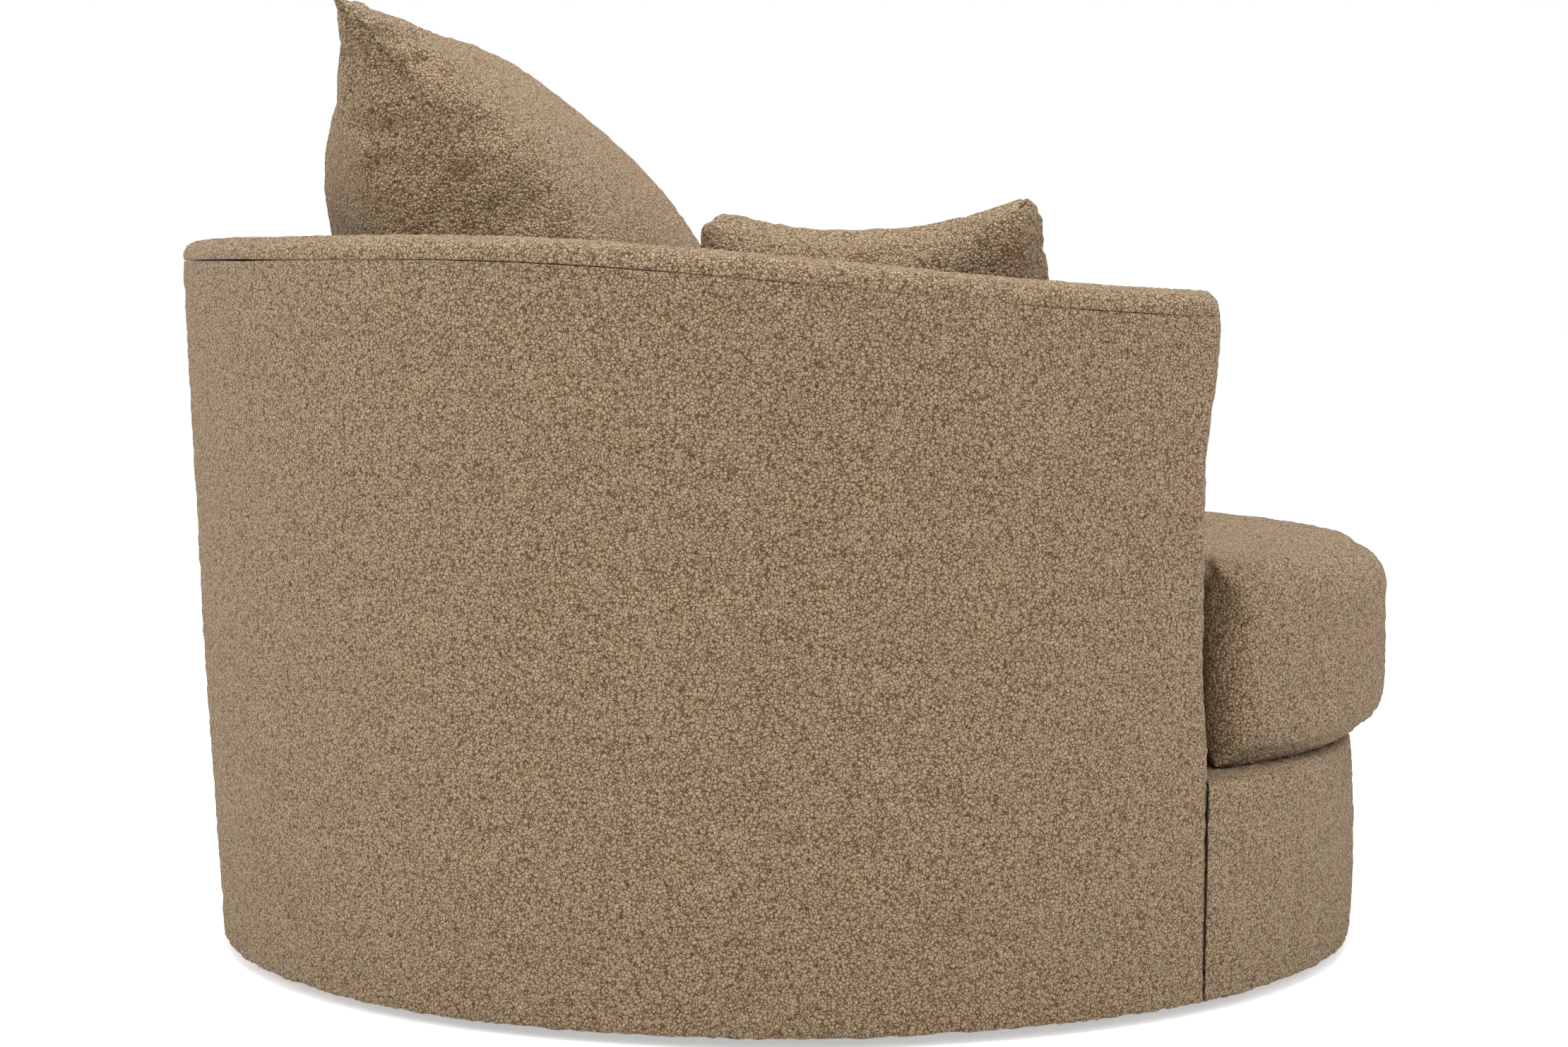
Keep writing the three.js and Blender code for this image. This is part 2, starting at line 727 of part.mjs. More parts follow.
function springClip(x, barY, side) {
  const inside = springWire / 2 + fit;
  const ceiling = clipThickness + springWire + 2 * fit;
  const corners = [
    [clipTail, 0],
    [clipTail, clipThickness],
    [-inside, clipThickness],
    [-inside, ceiling],
    [clipLip, ceiling],
    [clipLip, ceiling + clipThickness],
    [-inside - clipThickness, ceiling + clipThickness],
    [-inside - clipThickness, 0],
  ];
  const shape = new THREE.Shape(corners.map(([out, height]) => new THREE.Vector2(side * out, height)));
  const options = { depth: clipWidth, bevelEnabled: false };
  const profile = new THREE.ExtrudeGeometry(shape, options).translate(0, 0, -clipWidth / 2);
  return profile.rotateX(Math.PI / 2).rotateZ(Math.PI / 2).translate(x, barY, seatRingTop);
}

for (let i = 0; i < springCount; i++) {
  const x = (i - (springCount - 1) / 2) * springSpacing;
  const ends = springEnds(x);
  add(`seat_spring_${i + 1}`, wire(springPath(x, ends), springWire), "steel");
  add(`rear_clip_${i + 1}`, springClip(x, ends.backY, 1), "zinc");
  add(`front_clip_${i + 1}`, springClip(x, ends.frontY, -1), "zinc");
}

// Seat deck: a felt pad under a platform cloth, from wall to wall and over the front board

function seatDeckShape() {
  const radius = innerRadius(deckPadBottom) - deckSideGap;
  const endY = armFrontY - fit;
  const back = span(wallSteps, -1, 1).map((along) => arcPoint(along, radius, 0, endY));
  const inset = frameInset + deckSideGap;
  const front = span(frontSteps, 1, -1).map((along) => frontPoint(along, deckTop, inset, endY));
  return new THREE.Shape([...back, ...front].map((point) => new THREE.Vector2(point.x, point.y)));
}

add("seat_deck", plate(seatDeckShape(), deckPadBottom, deckPadThickness), "deckCloth");

const dustClothBottom = baseBoardBottom - dustClothThickness;
const dustClothShape = new THREE.Shape(footprint(bottomRailBottom, frameInset + bottomRailWidth + fit));
dustClothShape.holes.push(roundHole(0, 0, upperPlateWidth * Math.SQRT2 + 2 * dustClothGap));
add("dust_cloth", plate(dustClothShape, dustClothBottom, dustClothThickness), "dustCloth");

// Upholstery of the tub: outside cover, inside lining, rim and front panel

add(
  "outside_cover",
  panel(
    wallFace(shellRadius, hemHeight, coverDrop),
    wallFace((z) => shellRadius(z) - coverThickness, hemHeight, coverDrop),
    wallSteps,
    coverRows,
  ),
  "boucle",
);

const lining = panel(
  wallFace((z) => shellRadius(z) - ringInset, seatRingTop + fit, frameDrop),
  wallFace(innerRadius, seatRingTop + fit, coverDrop),
  wallSteps,
  liningRows,
);
const armPockets = [1, -1].flatMap((side) => [armPanel(side, fit), armFacing(side, fit)]);
add("inside_lining", cut(lining, ...armPockets), "boucle");

// The rim's section runs down its outer side, under it, and up its inner side to the rounded top
function rimSection(along) {
  const outer = (inset, drop) => wallFace((z) => shellRadius(z) - inset, 0, drop)(along, 1);
  const inner = (inset, drop) => wallFace((z) => innerRadius(z) + inset, 0, drop)(along, 1);
  const rounding = span(cornerSteps, 0, Math.PI / 2).map((angle) => ({
    inset: rimCorner * (1 - Math.sin(angle)),
    drop: rimCorner * (1 - Math.cos(angle)),
  }));
  return [
    ...rounding.map(({ inset, drop }) => outer(inset, drop)),
    outer(0, rimDepth),
    inner(0, rimDepth),
    ...rounding.reverse().map(({ inset, drop }) => inner(inset, drop)),
  ];
}

add("rim", sweep(span(wallSteps, -1, 1).map(rimSection)), "boucle");

add(
  "front_panel",
  panel(
    frontFace(0, hemHeight, deckTop - fit),
    frontFace(coverThickness, hemHeight, deckTop - fit),
    frontSteps,
    coverRows,
  ),
  "boucle",
);

// Seat cushion: a boxed cushion with a bowed border and a crowned top

const seatCushionBottom = deckTop + fit;
const seatBackEdgeY = armFrontY - seatFacingGap;
const seatFrontRadius = rimRadius - seatEarSetback;
const seatFrontCentreY = seatFrontRadius - (frontHemReach + seatOverhang);

// Half of the cushion's outline, from the middle of its front to the middle of its back
function seatHalfOutline(level, inset) {
  const discRadius = innerRadius(level) - seatSideGap - inset;
  const earRadius = Math.max(seatEarRadius - inset, seatEarMinRadius);
  const earCentreY = seatBackEdgeY - inset - earRadius;
  const frontRadiusHere = seatFrontRadius - inset;
  const earAngle = Math.asin((earCentreY - seatFrontCentreY) / (frontRadiusHere - earRadius));
  const earCentreX = (frontRadiusHere - earRadius) * Math.cos(earAngle);
  const notchRadius = discRadius + inset;
  const notchX = Math.sqrt(notchRadius ** 2 - seatBackEdgeY ** 2);
  const notchAngle = Math.atan2(seatBackEdgeY, notchX);
  const arc = (centreX, centreY, radius, from, to, steps) => {
    const centre = new THREE.Vector2(centreX, centreY);
    return span(steps, from, to).map((angle) => {
      return new THREE.Vector2(Math.cos(angle), Math.sin(angle)).multiplyScalar(radius).add(centre);
    });
  };
  return [
    ...arc(0, seatFrontCentreY, frontRadiusHere, -Math.PI / 2, earAngle, seatArcSteps),
    ...arc(earCentreX, earCentreY, earRadius, earAngle, Math.PI / 2, earSteps).slice(1),
    ...arc(notchX, seatBackEdgeY, inset, -Math.PI / 2, notchAngle - Math.PI, cornerSteps),
    ...arc(0, 0, discRadius, notchAngle, Math.PI / 2, seatSideSteps).slice(1),
  ];
}

// Triangles between two rows of points, where neighbours may be the same point
function bridge(rowA, rowB) {
  const triangles = [];
  for (let i = 0; i + 1 < rowA.length; i++) {
    triangles.push([rowA[i], rowB[i], rowB[i + 1]], [rowA[i], rowB[i + 1], rowA[i + 1]]);
  }
  return triangles.filter(([a, b, c]) => a !== b && b !== c && c !== a);
}

function bridgeAll(rows) {
  return rows.slice(1).flatMap((row, i) => bridge(rows[i], row));
}

function makeSeatCushion() {
  const loops = seatBorderLevelShares.map((share, i) => {
    const z = lerp(seatCushionBottom, seatBorderTop, share);
    const half = seatHalfOutline(z, seatBorderPull * seatBorderPullShares[i]);
    const right = half.map((point) => new THREE.Vector3(point.x, point.y, z));
    const left = right.slice(1, -1).map((point) => new THREE.Vector3(-point.x, point.y, z));
    return [...right, ...left.reverse()];
  });
  const points = loops.flat();
  const size = loops[0].length;
  const half = size / 2;
  const loopRow = (level) => [...Array(size + 1).keys()].map((i) => level * size + (i % size));
  const border = bridgeAll(loops.map((_, level) => loopRow(level)).reverse());
  const pairOf = (start, i) => [start + i, start + ((size - i) % size)];

  const bottomRows = span(half, 0, half).map((i) => pairOf(0, i));
  const topStart = (loops.length - 1) * size;
  const [frontY, backY] = [points[topStart].y, points[topStart + half].y];
  const topRows = span(half, 0, half).map((i) => {
    const [right, left] = pairOf(topStart, i);
    if (right === left) return Array(crownColumns + 1).fill(right);
    const along = (points[right].y - frontY) / (backY - frontY);
    const between = span(crownColumns, -1, 1).slice(1, -1).map((across) => {
      const point = points[right].clone().lerp(points[left], (1 + across) / 2);
      const bulge = Math.max((1 - across ** 2) * 4 * along * (1 - along), 0);
      return points.push(point.setZ(seatBorderTop + seatCrown * bulge ** seatCrownPower)) - 1;
    });
    return [right, ...between, left];
  });
  return solidFrom(points, [...border, ...bridgeAll(bottomRows.reverse()), ...bridgeAll(topRows)]);
}

const seatCushion = makeSeatCushion();
add("seat_cushion", seatCushion, "boucle");

// Knife-edge cushions: two crowned panels sewn together round their edges

const backCushionWidth = 2 * (innerRimRadius - backCushionSideRoom);

function pillow(width, height, thickness, sagShare) {
  const steps = span(pillowSteps, -1, 1).map((share) => Math.sin((share * Math.PI) / 2));
  const points = [];
  const edge = (i) => i === 0 || i === pillowSteps;
  const place = (u, v, z) => {
    const x = (width / 2) * u * (1 - edgePullShare * (1 - v ** 2));
    const y = (height / 2) * v * (1 - edgePullShare * (1 - u ** 2));
    return points.push(new THREE.Vector3(x, y, z)) - 1;
  };
  const crown = (u, v) => {
    const inward = Math.max((1 - u ** 2) * (1 - v ** 2), 0);
    return (thickness / 2) * inward ** pillowCrownPower;
  };
  const front = steps.map((v) => steps.map((u) => {
    return place(u, v, crown(u, v) * (1 - sagShare * (v + pillowSagLevelShare)));
  }));
  const back = steps.map((v, row) => steps.map((u, column) => {
    return edge(row) || edge(column) ? front[row][column] : place(u, v, -crown(u, v));
  }));
  return solidFrom(points, [...bridgeAll(front), ...bridgeAll(back.reverse())]);
}

// Leans a cushion back, turns it from facing the chair's front, and fits it to the seat below it
function settle(cushion, lean, turn, x, y, z) {
  const up = new THREE.Vector3(0, Math.sin(lean), Math.cos(lean));
  const forward = new THREE.Vector3(0, -Math.cos(lean), Math.sin(lean));
  const pose = new THREE.Matrix4().makeBasis(new THREE.Vector3(1, 0, 0), up, forward);
  pose.premultiply(new THREE.Matrix4().makeRotationZ(turn)).setPosition(x, y, z);
  const below = box(2 * backCushionWidth, 2 * backCushionWidth, seatBorderTop + fit, x, y, 0);
  return cut(cushion.applyMatrix4(pose), below, seatCushion.clone().translate(0, 0, fit));
}

// The height of a cushion's middle, so that its foot sinks a little into the seat
function restingHeight(size, lean, sink) {
  return seatCushionTop - sink + (size / 2) * Math.cos(lean);
}

const backCushionY = innerDeckRadius - backCushionSetback;
const backCushionZ = restingHeight(backCushionHeight, backCushionLean, backCushionSink);
const backCushion = pillow(backCushionWidth, backCushionHeight, backCushionThickness, backCushionSagShare);
add("back_cushion", settle(backCushion, backCushionLean, 0, 0, backCushionY, backCushionZ), "boucle");

const scatterX = scatterArmSetback - innerDeckRadius;
const scatterY = backCushionY - backCushionThickness / 2 - scatterBackSetback;
const scatterZ = restingHeight(scatterSize, scatterLean, scatterSink);
const scatterCushion = pillow(scatterSize, scatterSize, scatterThickness, scatterSagShare);
add(
  "scatter_cushion",
  settle(scatterCushion, scatterLean, scatterTurn, scatterX, scatterY, scatterZ),
  "boucle",
);

export default chair;
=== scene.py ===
"""A round swivel cuddle chair, upholstered in boucle over its frame. Metres, +Z up, front to -Y."""

import json
import math

import bmesh
import bpy
import numpy as np
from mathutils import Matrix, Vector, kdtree

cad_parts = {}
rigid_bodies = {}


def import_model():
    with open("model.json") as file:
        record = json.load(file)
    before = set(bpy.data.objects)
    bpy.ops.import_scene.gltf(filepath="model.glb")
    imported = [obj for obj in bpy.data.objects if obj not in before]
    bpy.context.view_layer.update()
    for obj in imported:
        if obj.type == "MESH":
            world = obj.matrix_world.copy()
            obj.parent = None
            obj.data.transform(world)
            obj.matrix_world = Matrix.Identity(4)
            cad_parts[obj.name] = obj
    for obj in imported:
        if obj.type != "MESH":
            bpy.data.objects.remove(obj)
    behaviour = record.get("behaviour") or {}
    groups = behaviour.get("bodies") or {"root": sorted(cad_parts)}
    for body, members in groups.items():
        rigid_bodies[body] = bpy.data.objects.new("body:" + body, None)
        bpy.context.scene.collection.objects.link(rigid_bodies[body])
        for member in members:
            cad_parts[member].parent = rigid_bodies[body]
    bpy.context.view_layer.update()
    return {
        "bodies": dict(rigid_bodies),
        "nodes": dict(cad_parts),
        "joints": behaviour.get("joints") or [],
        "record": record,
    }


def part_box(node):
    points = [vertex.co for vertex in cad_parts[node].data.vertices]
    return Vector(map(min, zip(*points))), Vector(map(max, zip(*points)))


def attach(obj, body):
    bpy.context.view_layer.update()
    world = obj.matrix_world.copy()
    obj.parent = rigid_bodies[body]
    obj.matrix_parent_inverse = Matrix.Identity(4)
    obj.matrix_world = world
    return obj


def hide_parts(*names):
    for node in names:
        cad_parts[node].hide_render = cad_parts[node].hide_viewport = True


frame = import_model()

scene = bpy.context.scene

# Camera. It stands 3.6 m off at the sitter's right side, a little above the arm, and looks across
# the chair with a slight dip, through a short telephoto lens.
CAMERA_PLACE = (-3.598, 0.001, 0.703)
CAMERA_DIP = math.radians(4.315)
CAMERA_LENS = 77.58
CAMERA_SENSOR = 36.0

camera_data = bpy.data.cameras.new("Camera")
camera_data.sensor_fit = "HORIZONTAL"
camera_data.sensor_width = CAMERA_SENSOR
camera_data.lens = CAMERA_LENS
camera = bpy.data.objects.new("Camera", camera_data)
camera.location = CAMERA_PLACE
camera.rotation_euler = (math.pi / 2 - CAMERA_DIP, 0, -math.pi / 2)
scene.collection.objects.link(camera)
scene.camera = camera
scene.view_settings.view_transform = "Standard"


# Studio. A seamless white paper floor that runs out into a white surround, and four big soft lamps.
# The floor keeps the chair's shadow, and its own glow reaches only the camera, metal and glass. The
# surround lights the chair softly and looks plain white.
PAPER_WHITE = "#F4F4F4"
PLAIN_WHITE = "#FFFFFF"
FLOOR_SIZE = 60.0
FLOOR_GLOW = 0.45
SURROUND_LIGHT = 0.62
# Each lamp's name, place, width and watts.
LAMPS = (
    ("Overhead", (-0.4, 0.0, 3.2), 3.0, 76.0),
    ("Side", (-3.4, -1.4, 2.0), 2.2, 21.0),
    ("Front", (-1.4, -3.6, 2.2), 2.2, 21.0),
    ("Back", (-1.4, 3.6, 2.2), 2.2, 52.0),
)
LAMP_AIM = (0.0, 0.0, 0.45)


def linear(hex_colour):
    """An sRGB hex colour as linear red, green, blue and alpha."""
    channels = [int(hex_colour[place:place + 2], 16) / 255 for place in (1, 3, 5)]
    return (*(c / 12.92 if c <= 0.04045 else ((c + 0.055) / 1.055) ** 2.4 for c in channels), 1.0)


def add_node(tree, kind, inputs=None, **settings):
    """Adds a node with its settings. Each input is a value or another node's output."""
    made = tree.nodes.new(kind)
    for name, value in settings.items():
        setattr(made, name, value)
    for name, value in (inputs or {}).items():
        if isinstance(value, bpy.types.NodeSocket):
            tree.links.new(value, made.inputs[name])
        else:
            made.inputs[name].default_value = value
    return made


def blank_tree(owner):
    """The emptied node tree of a material or world."""
    owner.use_nodes = True
    owner.node_tree.nodes.clear()
    return owner.node_tree


def seen_ray(tree):
    """1 for rays from the camera and for those that metal and glass send on, else 0."""
    path = add_node(tree, "ShaderNodeLightPath")
    either = add_node(tree, "ShaderNodeMath", {0: path.outputs["Is Camera Ray"],
                                               1: path.outputs["Is Glossy Ray"]}, operation="MAXIMUM")
    return add_node(tree, "ShaderNodeMath", {0: either.outputs[0],
                                             1: path.outputs["Is Transmission Ray"]},
                    operation="MAXIMUM").outputs[0]


def paper_floor():
    """Matt white paper that glows a little to the camera, so that only its shadows are grey."""
    material = bpy.data.materials.new("white_paper")
    tree = blank_tree(material)
    paper = add_node(tree, "ShaderNodeBsdfDiffuse", {"Color": linear(PAPER_WHITE)})
    glow_level = add_node(tree, "ShaderNodeMath", {0: seen_ray(tree), 1: FLOOR_GLOW},
                          operation="MULTIPLY")
    glow = add_node(tree, "ShaderNodeEmission", {"Strength": glow_level.outputs[0]})
    both = add_node(tree, "ShaderNodeAddShader", {0: paper.outputs[0], 1: glow.outputs[0]})
    add_node(tree, "ShaderNodeOutputMaterial", {"Surface": both.outputs[0]})
    return material


def white_surround():
    """A white world that lights the chair softly and looks plain white."""
    world = bpy.data.worlds.new("Surround")
    tree = blank_tree(world)
    seen = seen_ray(tree)
    strength = add_node(tree, "ShaderNodeMapRange", {"Value": seen, "To Min": SURROUND_LIGHT,
                                                     "To Max": 1.0})
    light = add_node(tree, "ShaderNodeBackground", {"Color": linear(PLAIN_WHITE),
                                                    "Strength": strength.outputs[0]})
    add_node(tree, "ShaderNodeOutputWorld", {"Surface": light.outputs[0]})
    scene.world = world


def soft_lamp(name, place, size, power):
    """A square soft box that faces the chair."""
    lamp = bpy.data.lights.new(name, "AREA")
    lamp.size = size
    lamp.energy = power
    holder = bpy.data.objects.new(name, lamp)
    holder.location = place
    aim = [end - start for start, end in zip(place, LAMP_AIM)]
    level = math.hypot(aim[0], aim[1])
    holder.rotation_euler = (math.atan2(level, -aim[2]), 0, math.atan2(-aim[0], aim[1]))
    scene.collection.objects.link(holder)


half_floor = FLOOR_SIZE / 2
floor_mesh = bpy.data.meshes.new("floor")
floor_mesh.from_pydata(
    [(-half_floor, -half_floor, 0), (half_floor, -half_floor, 0), (half_floor, half_floor, 0),
     (-half_floor, half_floor, 0)], [], [(0, 1, 2, 3)])
floor_mesh.materials.append(paper_floor())
floor = bpy.data.objects.new("floor", floor_mesh)
scene.collection.objects.link(floor)
white_surround()
for lamp in LAMPS:
    soft_lamp(*lamp)


# Swivel base. A cross of welded square tube and two pressed plates, black powder-coated, which
# leaves a faint orange peel. The races, ball cage, stud, nut, washer and bolts are bright zinc
# plate, and the glides are moulded polypropylene.
POWDER_BLACK = "#2A2B2D"
POWDER_ROUGHNESS = 0.5
ORANGE_PEEL = 0.0012
PEEL_DEPTH = 0.0003
PEEL_STRENGTH = 0.25
ZINC = "#C2C5C9"
ZINC_SHADE = "#9DA1A6"
ZINC_LEAST_ROUGHNESS = 0.24
ZINC_MOST_ROUGHNESS = 0.42
ZINC_SPANGLE = 0.006
GLIDE_BLACK = "#17181A"
GLIDE_ROUGHNESS = 0.55
GLIDE_IOR = 1.49
PLASTIC_GRAIN = 0.0008
PLASTIC_GRAIN_DEPTH = 0.0002
PLASTIC_GRAIN_STRENGTH = 0.3
# A mix node's sockets for colours, by number, because their names repeat.
FIRST_COLOUR = 6
SECOND_COLOUR = 7
MIXED_COLOUR = 2


def finished(name, build):
    """A material whose nodes build makes: it returns the shader's inputs, given the tree and the
    object's own coordinates in metres."""
    material = bpy.data.materials.new(name)
    tree = blank_tree(material)
    place = add_node(tree, "ShaderNodeTexCoord").outputs["Object"]
    shader = add_node(tree, "ShaderNodeBsdfPrincipled", build(tree, place))
    add_node(tree, "ShaderNodeOutputMaterial", {"Surface": shader.outputs[0]})
    return material


def powder_coat(tree, place):
    """Cured powder: satin, with a fine orange peel."""
    peel = add_node(tree, "ShaderNodeTexNoise", {"Vector": place, "Scale": 1 / ORANGE_PEEL,
                                                 "Detail": 2.0})
    bump = add_node(tree, "ShaderNodeBump", {"Height": peel.outputs["Fac"], "Strength": PEEL_STRENGTH,
                                             "Distance": PEEL_DEPTH})
    return {"Base Color": linear(POWDER_BLACK), "Roughness": POWDER_ROUGHNESS,
            "Normal": bump.outputs[0]}


def zinc_plate(tree, place):
    """Bright zinc over steel: soft cloudy spangles in colour and gloss."""
    spangle = add_node(tree, "ShaderNodeTexNoise", {"Vector": place, "Scale": 1 / ZINC_SPANGLE,
                                                    "Detail": 3.0})
    colour = add_node(tree, "ShaderNodeMix", {"Factor": spangle.outputs["Fac"],
                                              FIRST_COLOUR: linear(ZINC),
                                              SECOND_COLOUR: linear(ZINC_SHADE)}, data_type="RGBA")
    gloss = add_node(tree, "ShaderNodeMapRange", {"Value": spangle.outputs["Fac"],
                                                  "To Min": ZINC_LEAST_ROUGHNESS,
                                                  "To Max": ZINC_MOST_ROUGHNESS})
    return {"Base Color": colour.outputs[MIXED_COLOUR], "Metallic": 1.0, "Roughness": gloss.outputs[0]}


def moulded_plastic(tree, place):
    """Polypropylene from a spark-eroded mould: matt, with a fine even grain."""
    grain = add_node(tree, "ShaderNodeTexNoise", {"Vector": place, "Scale": 1 / PLASTIC_GRAIN,
                                                  "Detail": 1.0})
    bump = add_node(tree, "ShaderNodeBump", {"Height": grain.outputs["Fac"],
                                             "Strength": PLASTIC_GRAIN_STRENGTH,
                                             "Distance": PLASTIC_GRAIN_DEPTH})
    return {"Base Color": linear(GLIDE_BLACK), "Roughness": GLIDE_ROUGHNESS, "IOR": GLIDE_IOR,
            "Normal": bump.outputs[0]}


def dress_nodes(material, *starts):
    """Gives a finish to every CAD node whose name starts as given."""
    for name, node in frame["nodes"].items():
        if name.startswith(starts):
            for slot in node.material_slots:
                slot.material = material


powder_black = finished("powder_coated_steel", powder_coat)
bright_zinc = finished("zinc_plated_steel", zinc_plate)
dress_nodes(powder_black, "floor_tube", "lower_swivel_plate", "upper_swivel_plate")
dress_nodes(bright_zinc, "lower_race", "upper_race", "ball_cage", "stud_", "centre_stud", "deck_bolt")
dress_nodes(finished("moulded_polypropylene", moulded_plastic), "glide")


# Frame. Ribs, posts, rails and boards are bare birch plywood: pale rotary-cut faces with long soft
# grain. The seat springs are hard-drawn wire with the same black coat as the swivel base, and hang
# in zinc-plated clips.
BIRCH_LIGHT = "#D8BE95"
BIRCH_DARK = "#BC9A68"
BIRCH_ROUGHNESS = 0.7
GRAIN_WIDTH = 0.009
GRAIN_STRETCH = 0.08
GRAIN_WANDER = 0.4
GRAIN_DEPTH = 0.0004
GRAIN_STRENGTH = 0.2


def birch_plywood(tree, place):
    """Sanded birch veneer: grain that wanders along one way of the board."""
    along = add_node(tree, "ShaderNodeVectorMath", {0: place, 1: (1.0, 1.0, GRAIN_STRETCH)},
                     operation="MULTIPLY")
    grain = add_node(tree, "ShaderNodeTexNoise", {"Vector": along.outputs[0], "Scale": 1 / GRAIN_WIDTH,
                                                  "Detail": 4.0, "Distortion": GRAIN_WANDER})
    colour = add_node(tree, "ShaderNodeMix", {"Factor": grain.outputs["Fac"],
                                              FIRST_COLOUR: linear(BIRCH_LIGHT),
                                              SECOND_COLOUR: linear(BIRCH_DARK)}, data_type="RGBA")
    bump = add_node(tree, "ShaderNodeBump", {"Height": grain.outputs["Fac"],
                                             "Strength": GRAIN_STRENGTH, "Distance": GRAIN_DEPTH})
    return {"Base Color": colour.outputs[MIXED_COLOUR], "Roughness": BIRCH_ROUGHNESS,
            "Normal": bump.outputs[0]}


dress_nodes(finished("birch_plywood", birch_plywood), "base_board", "bottom_rail", "seat_ring",
            "top_rail", "back_rib", "front_post", "front_board", "arm_panel")
dress_nodes(powder_black, "seat_spring")
dress_nodes(bright_zinc, "rear_clip", "front_clip")


# Cloths. The deck under the seat cushion is a plain-woven platform cloth over felt, and the dust
# cloth under the base board is black spunbond, which is pressed with small dimples.
DECK_THREAD = "#94836C"
# The thread's colour in painted shade, for the dips between threads.
DECK_PAINTED_SHADE = "#77684F"
DECK_PITCH = 0.0022
DECK_ROUGHNESS = 0.9
DECK_SHEEN = 0.2
THREAD_WANDER = 0.6
WEAVE_DEPTH = 0.0005
WEAVE_STRENGTH = 0.5
# How far a wave texture of scale 1 turns in a metre, in radians.
WAVE_TURN = 20
DUST_BLACK = "#1B1B1D"
DUST_ROUGHNESS = 0.85
DUST_DIMPLE = 0.002
DUST_DIMPLE_WANDER = 0.2
DUST_DIMPLE_DEPTH = 0.0004
DUST_DIMPLE_STRENGTH = 0.6


def platform_cloth(tree, place):
    """Plain weave: warp over weft in a fine even square, drawn a little coarse so that it shows, with
    painted shade between the threads.
    """
    threads = {"Vector": place, "Scale": math.tau / DECK_PITCH / WAVE_TURN, "Distortion": THREAD_WANDER}
    warp = add_node(tree, "ShaderNodeTexWave", threads, bands_direction="X")
    weft = add_node(tree, "ShaderNodeTexWave", threads, bands_direction="Y")
    weave = add_node(tree, "ShaderNodeMath", {0: warp.outputs["Fac"], 1: weft.outputs["Fac"]},
                     operation="MULTIPLY")
    # Painted shade: darker where the threads dip between their crossings.
    colour = add_node(tree, "ShaderNodeMix", {"Factor": weave.outputs[0],
                                              FIRST_COLOUR: linear(DECK_PAINTED_SHADE),
                                              SECOND_COLOUR: linear(DECK_THREAD)}, data_type="RGBA")
    bump = add_node(tree, "ShaderNodeBump", {"Height": weave.outputs[0], "Strength": WEAVE_STRENGTH,
                                             "Distance": WEAVE_DEPTH})
    return {"Base Color": colour.outputs[MIXED_COLOUR], "Roughness": DECK_ROUGHNESS,
            "Sheen Weight": DECK_SHEEN, "Normal": bump.outputs[0]}


def spunbond(tree, place):
    """Bonded black fibre with pressed dimples."""
    dimples = add_node(tree, "ShaderNodeTexVoronoi", {"Vector": place, "Scale": 1 / DUST_DIMPLE,
                                                      "Randomness": DUST_DIMPLE_WANDER})
    bump = add_node(tree, "ShaderNodeBump", {"Height": dimples.outputs["Distance"],
                                             "Strength": DUST_DIMPLE_STRENGTH,
                                             "Distance": DUST_DIMPLE_DEPTH})
    return {"Base Color": linear(DUST_BLACK), "Roughness": DUST_ROUGHNESS, "Normal": bump.outputs[0]}


dress_nodes(finished("platform_cloth", platform_cloth), "seat_deck")
dress_nodes(finished("spunbond_cloth", spunbond), "dust_cloth")


# Boucle. The cover is woven from a looped yarn of wool and acrylic: round nubs about 3 mm across in
# warm beige over a brown ground, which shows in the small gaps where nubs meet. The gaps are darkened
# further, and each nub towards its rim, as painted shade. Greener and pinker stretches of yarn drift
# over it, and loops catch the light at a glancing angle.
NUB_SIZE = 0.0032
NUB_WANDER = 0.0014
NUB_HEIGHT = 0.0018
LOOSE_SIZE = 0.0042
LOOSE_SHARES = (0.36, 0.66)
CRACK_SHARES = (0.12, 0.41)
# Where painted shade darkens each nub towards its rim, as shares of the nub's size.
NUB_SHADE_SHARES = (0.33, 1.0)
FIBRE_SIZE = 0.0009
FIBRE_SHARES = (0.3, 0.6)
FRAY_LEAST_SHARE = 0.55
GAP_SHARES = (0.23, 0.82)
DOME_SHARES = (0.1, 0.8)
PATCH_SIZE = 0.026
PATCH_ROUGHNESS = 0.6
PATCH_SHARES = (0.34, 0.66)
DRIFT_SHARES = (0.15, 0.85)
NUB_HUE_SHARE = 0.3
PALE_SHARE = 0.45
STREAK_SIZE = 0.009
STREAK_SHARES = (0.45, 0.7)
DEEP_SHARE = 0.25
YARN_GREEN = "#AA9C81"
YARN_PINK = "#BA9C7D"
YARN_PALE = "#C1AE91"
YARN_DEEP = "#8A7357"
# The ground yarn's brown, darkened further to stand in for the shade in the gaps.
GROUND_AND_SHADE_BROWN = "#4D3110"
BOUCLE_ROUGHNESS = 0.95
BOUCLE_SPECULAR = 0.2
BOUCLE_SHEEN = 0.18
SHEEN_ROUGHNESS = 0.5
SHEEN_TINT = "#D8CCBA"
# A noise texture's colour has this middle, and seldom strays further from it than this.
NOISE_MIDDLE = (0.5, 0.5, 0.5)
NOISE_REACH = 0.25
# A mix node's sockets for plain values, by number.
FIRST_VALUE = 2
SECOND_VALUE = 3


